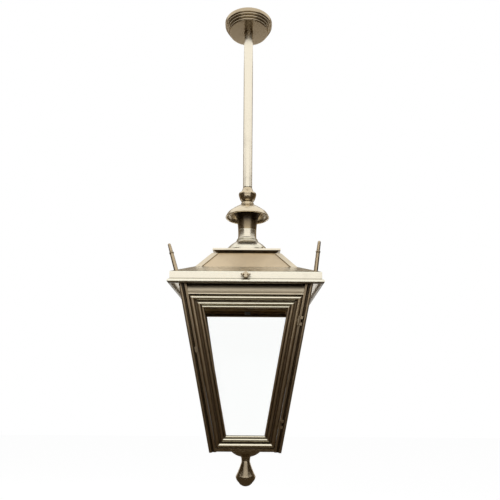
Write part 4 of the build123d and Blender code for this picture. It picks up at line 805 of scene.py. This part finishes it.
def frame_rails(owner, turn, gaps, section, body):
    """The four mitred rails of one side's frame."""
    outwards = Vector((0.0, -1.0, -taper)).normalized()
    origin = Vector((0.0, -half_at(base_top), base_top)) - outwards * frame_recess
    spin = Matrix.Rotation(math.radians(turn), 3, "Z")
    across = Vector((1, 0, 0))
    across, up, outwards = spin @ across, spin @ outwards.cross(across), spin @ outwards
    corners = frame_outline(*gaps, origin.z)
    origin = spin @ origin
    run = eased(section, 0.35, True)
    levels = relief_of(run, True)
    for index, name in enumerate(("bottom_rail", "right_stile", "top_rail", "left_stile")):
        # The stiles and all of the fixed frames take the dark copy as painted shade.
        finish = shaded_stile_brass if "stile" in name or owner != "door" else rail_brass
        points = []
        for place, other in ((index, (index + 1) % 4), ((index + 1) % 4, index)):
            here = corners[place]
            before, after = here - corners[place - 1], corners[(place + 1) % 4] - here
            into = Vector((-before.y, before.x)).normalized()
            away = Vector((-after.y, after.x)).normalized()
            mitre = (into + away) / (1 + into.dot(away))
            shrink = (corners[other] - here).normalized() * mitre_gap
            for inwards, height in run:
                flat = here + mitre * inwards + shrink
                points.append(tuple(origin + across * flat.x + up * flat.y + outwards * height))
        count = len(run)
        faces = [(i, (i + 1) % count, count + (i + 1) % count, count + i) for i in range(count)]
        faces += [tuple(range(count)), tuple(range(count, 2 * count))]
        finished(owner + "_" + name + "_skin", points, faces, levels * 2, finish, body,
                 [owner + "_" + name])


frame_rails("door", 0, (0.6, 1.2, 2.2), door_section, "door")
for owner, turn in (("right_frame", 90), ("back_frame", 180), ("left_frame", 270)):
    frame_rails(owner, turn, (0.1, 0.1, 0.1), slim_section, "lantern")

clear_pane, tree = shader("clear_pane")
place = node(tree, "ShaderNodeTexCoord", {}, out=3)
film = node(tree, "ShaderNodeTexNoise", {}, Vector=place, Scale=14.0, Detail=6.0)
wave = node(tree, "ShaderNodeTexNoise", {}, Vector=place, Scale=5.0, Detail=1.0)
waves = node(tree, "ShaderNodeBump", {}, Strength=0.12, Distance=0.002, Height=wave)
facing = node(tree, "ShaderNodeFresnel", {}, IOR=1.45)
through = node(tree, "ShaderNodeBsdfTransparent", {}, (0.995, 0.998, 0.996))
gloss = node(tree, "ShaderNodeBsdfGlossy", {}, (1.0, 1.0, 1.0), 0.04 + film * 0.08, Normal=waves)
surface(tree, node(tree, "ShaderNodeMixShader", {}, (facing * 0.18 + film.step(0.62, 0.9) * 0.02).clamp(),
                   through, gloss))
dress(clear_pane, "door_glass", "right_glass", "back_glass", "left_glass")
dress(zinc_plate, "glazing_clips", "door_glazing_clips")

# The base: a ring between the posts' feet, a plate over it, a spun boss below and
# the turned pendant, whose stud goes up through all of them into a nut.
base_brass = brass("base_brass", "sheet", tone=(0.5, 0.39, 0.25), rough=0.28)
dress(base_brass, "base_ring", "base_plate")
stud_hole, boss_wall, boss_foot = 4.2, 2.6, base_top - 26.0
boss_profile = [(stud_hole, base_top), (37.0, base_top)]
boss_profile += arc((37.0, base_top - 9.5), (29.0, base_top - 18.0), (12.0, boss_foot), 14)
boss_profile += [(stud_hole, boss_foot), (stud_hole, boss_foot + boss_wall)]
boss_profile += arc((12.0, boss_foot + boss_wall), (26.4, base_top - 16.7), (34.4, base_top - 9.5), 14)
boss_profile += [(34.4, base_top - boss_wall), (stud_hole, base_top - boss_wall)]
turned("boss_skin", boss_profile, turned_brass, ["base_boss"], ease=0.6)
stud_top, pear_top, pear_wide, pear_low = base_top + 9.0, boss_foot - 13.0, boss_foot - 43.0, boss_foot - 57.0
pendant_profile = [(0.0, stud_top), (4.0, stud_top), (4.0, boss_foot)]
pendant_profile += arc((11.0, boss_foot), (9.5, boss_foot - 7.8), (10.1, pear_top))
pendant_profile += arc((10.1, pear_top), (15.2, pear_top - 15.0), (22.1, pear_wide), 14)[1:]
pendant_profile += arc((22.1, pear_wide), (20.9, pear_wide - 7.0), (15.9, pear_low), 8)[1:]
pendant_profile += arc((15.9, pear_low), (9.27, pear_low - 6.94), (0.0, pear_low - 9.5), 10)[1:]
turned("pendant_skin", pendant_profile, turned_brass, ["pendant_finial"], closed=False, ease=0.6)

# The door's fittings: knuckles on the right post and the door's edge with plain
# wire pins, and a small cast turn button pivoted in the left post.
hinge_brass = brass("hinge_brass", "drawn", tone=(0.56, 0.45, 0.3), rough=0.3)
dress(hinge_brass, "post_hinge_knuckles", "door_hinge_knuckles", "door_catch")
dress(zinc_bar, "hinge_pins")
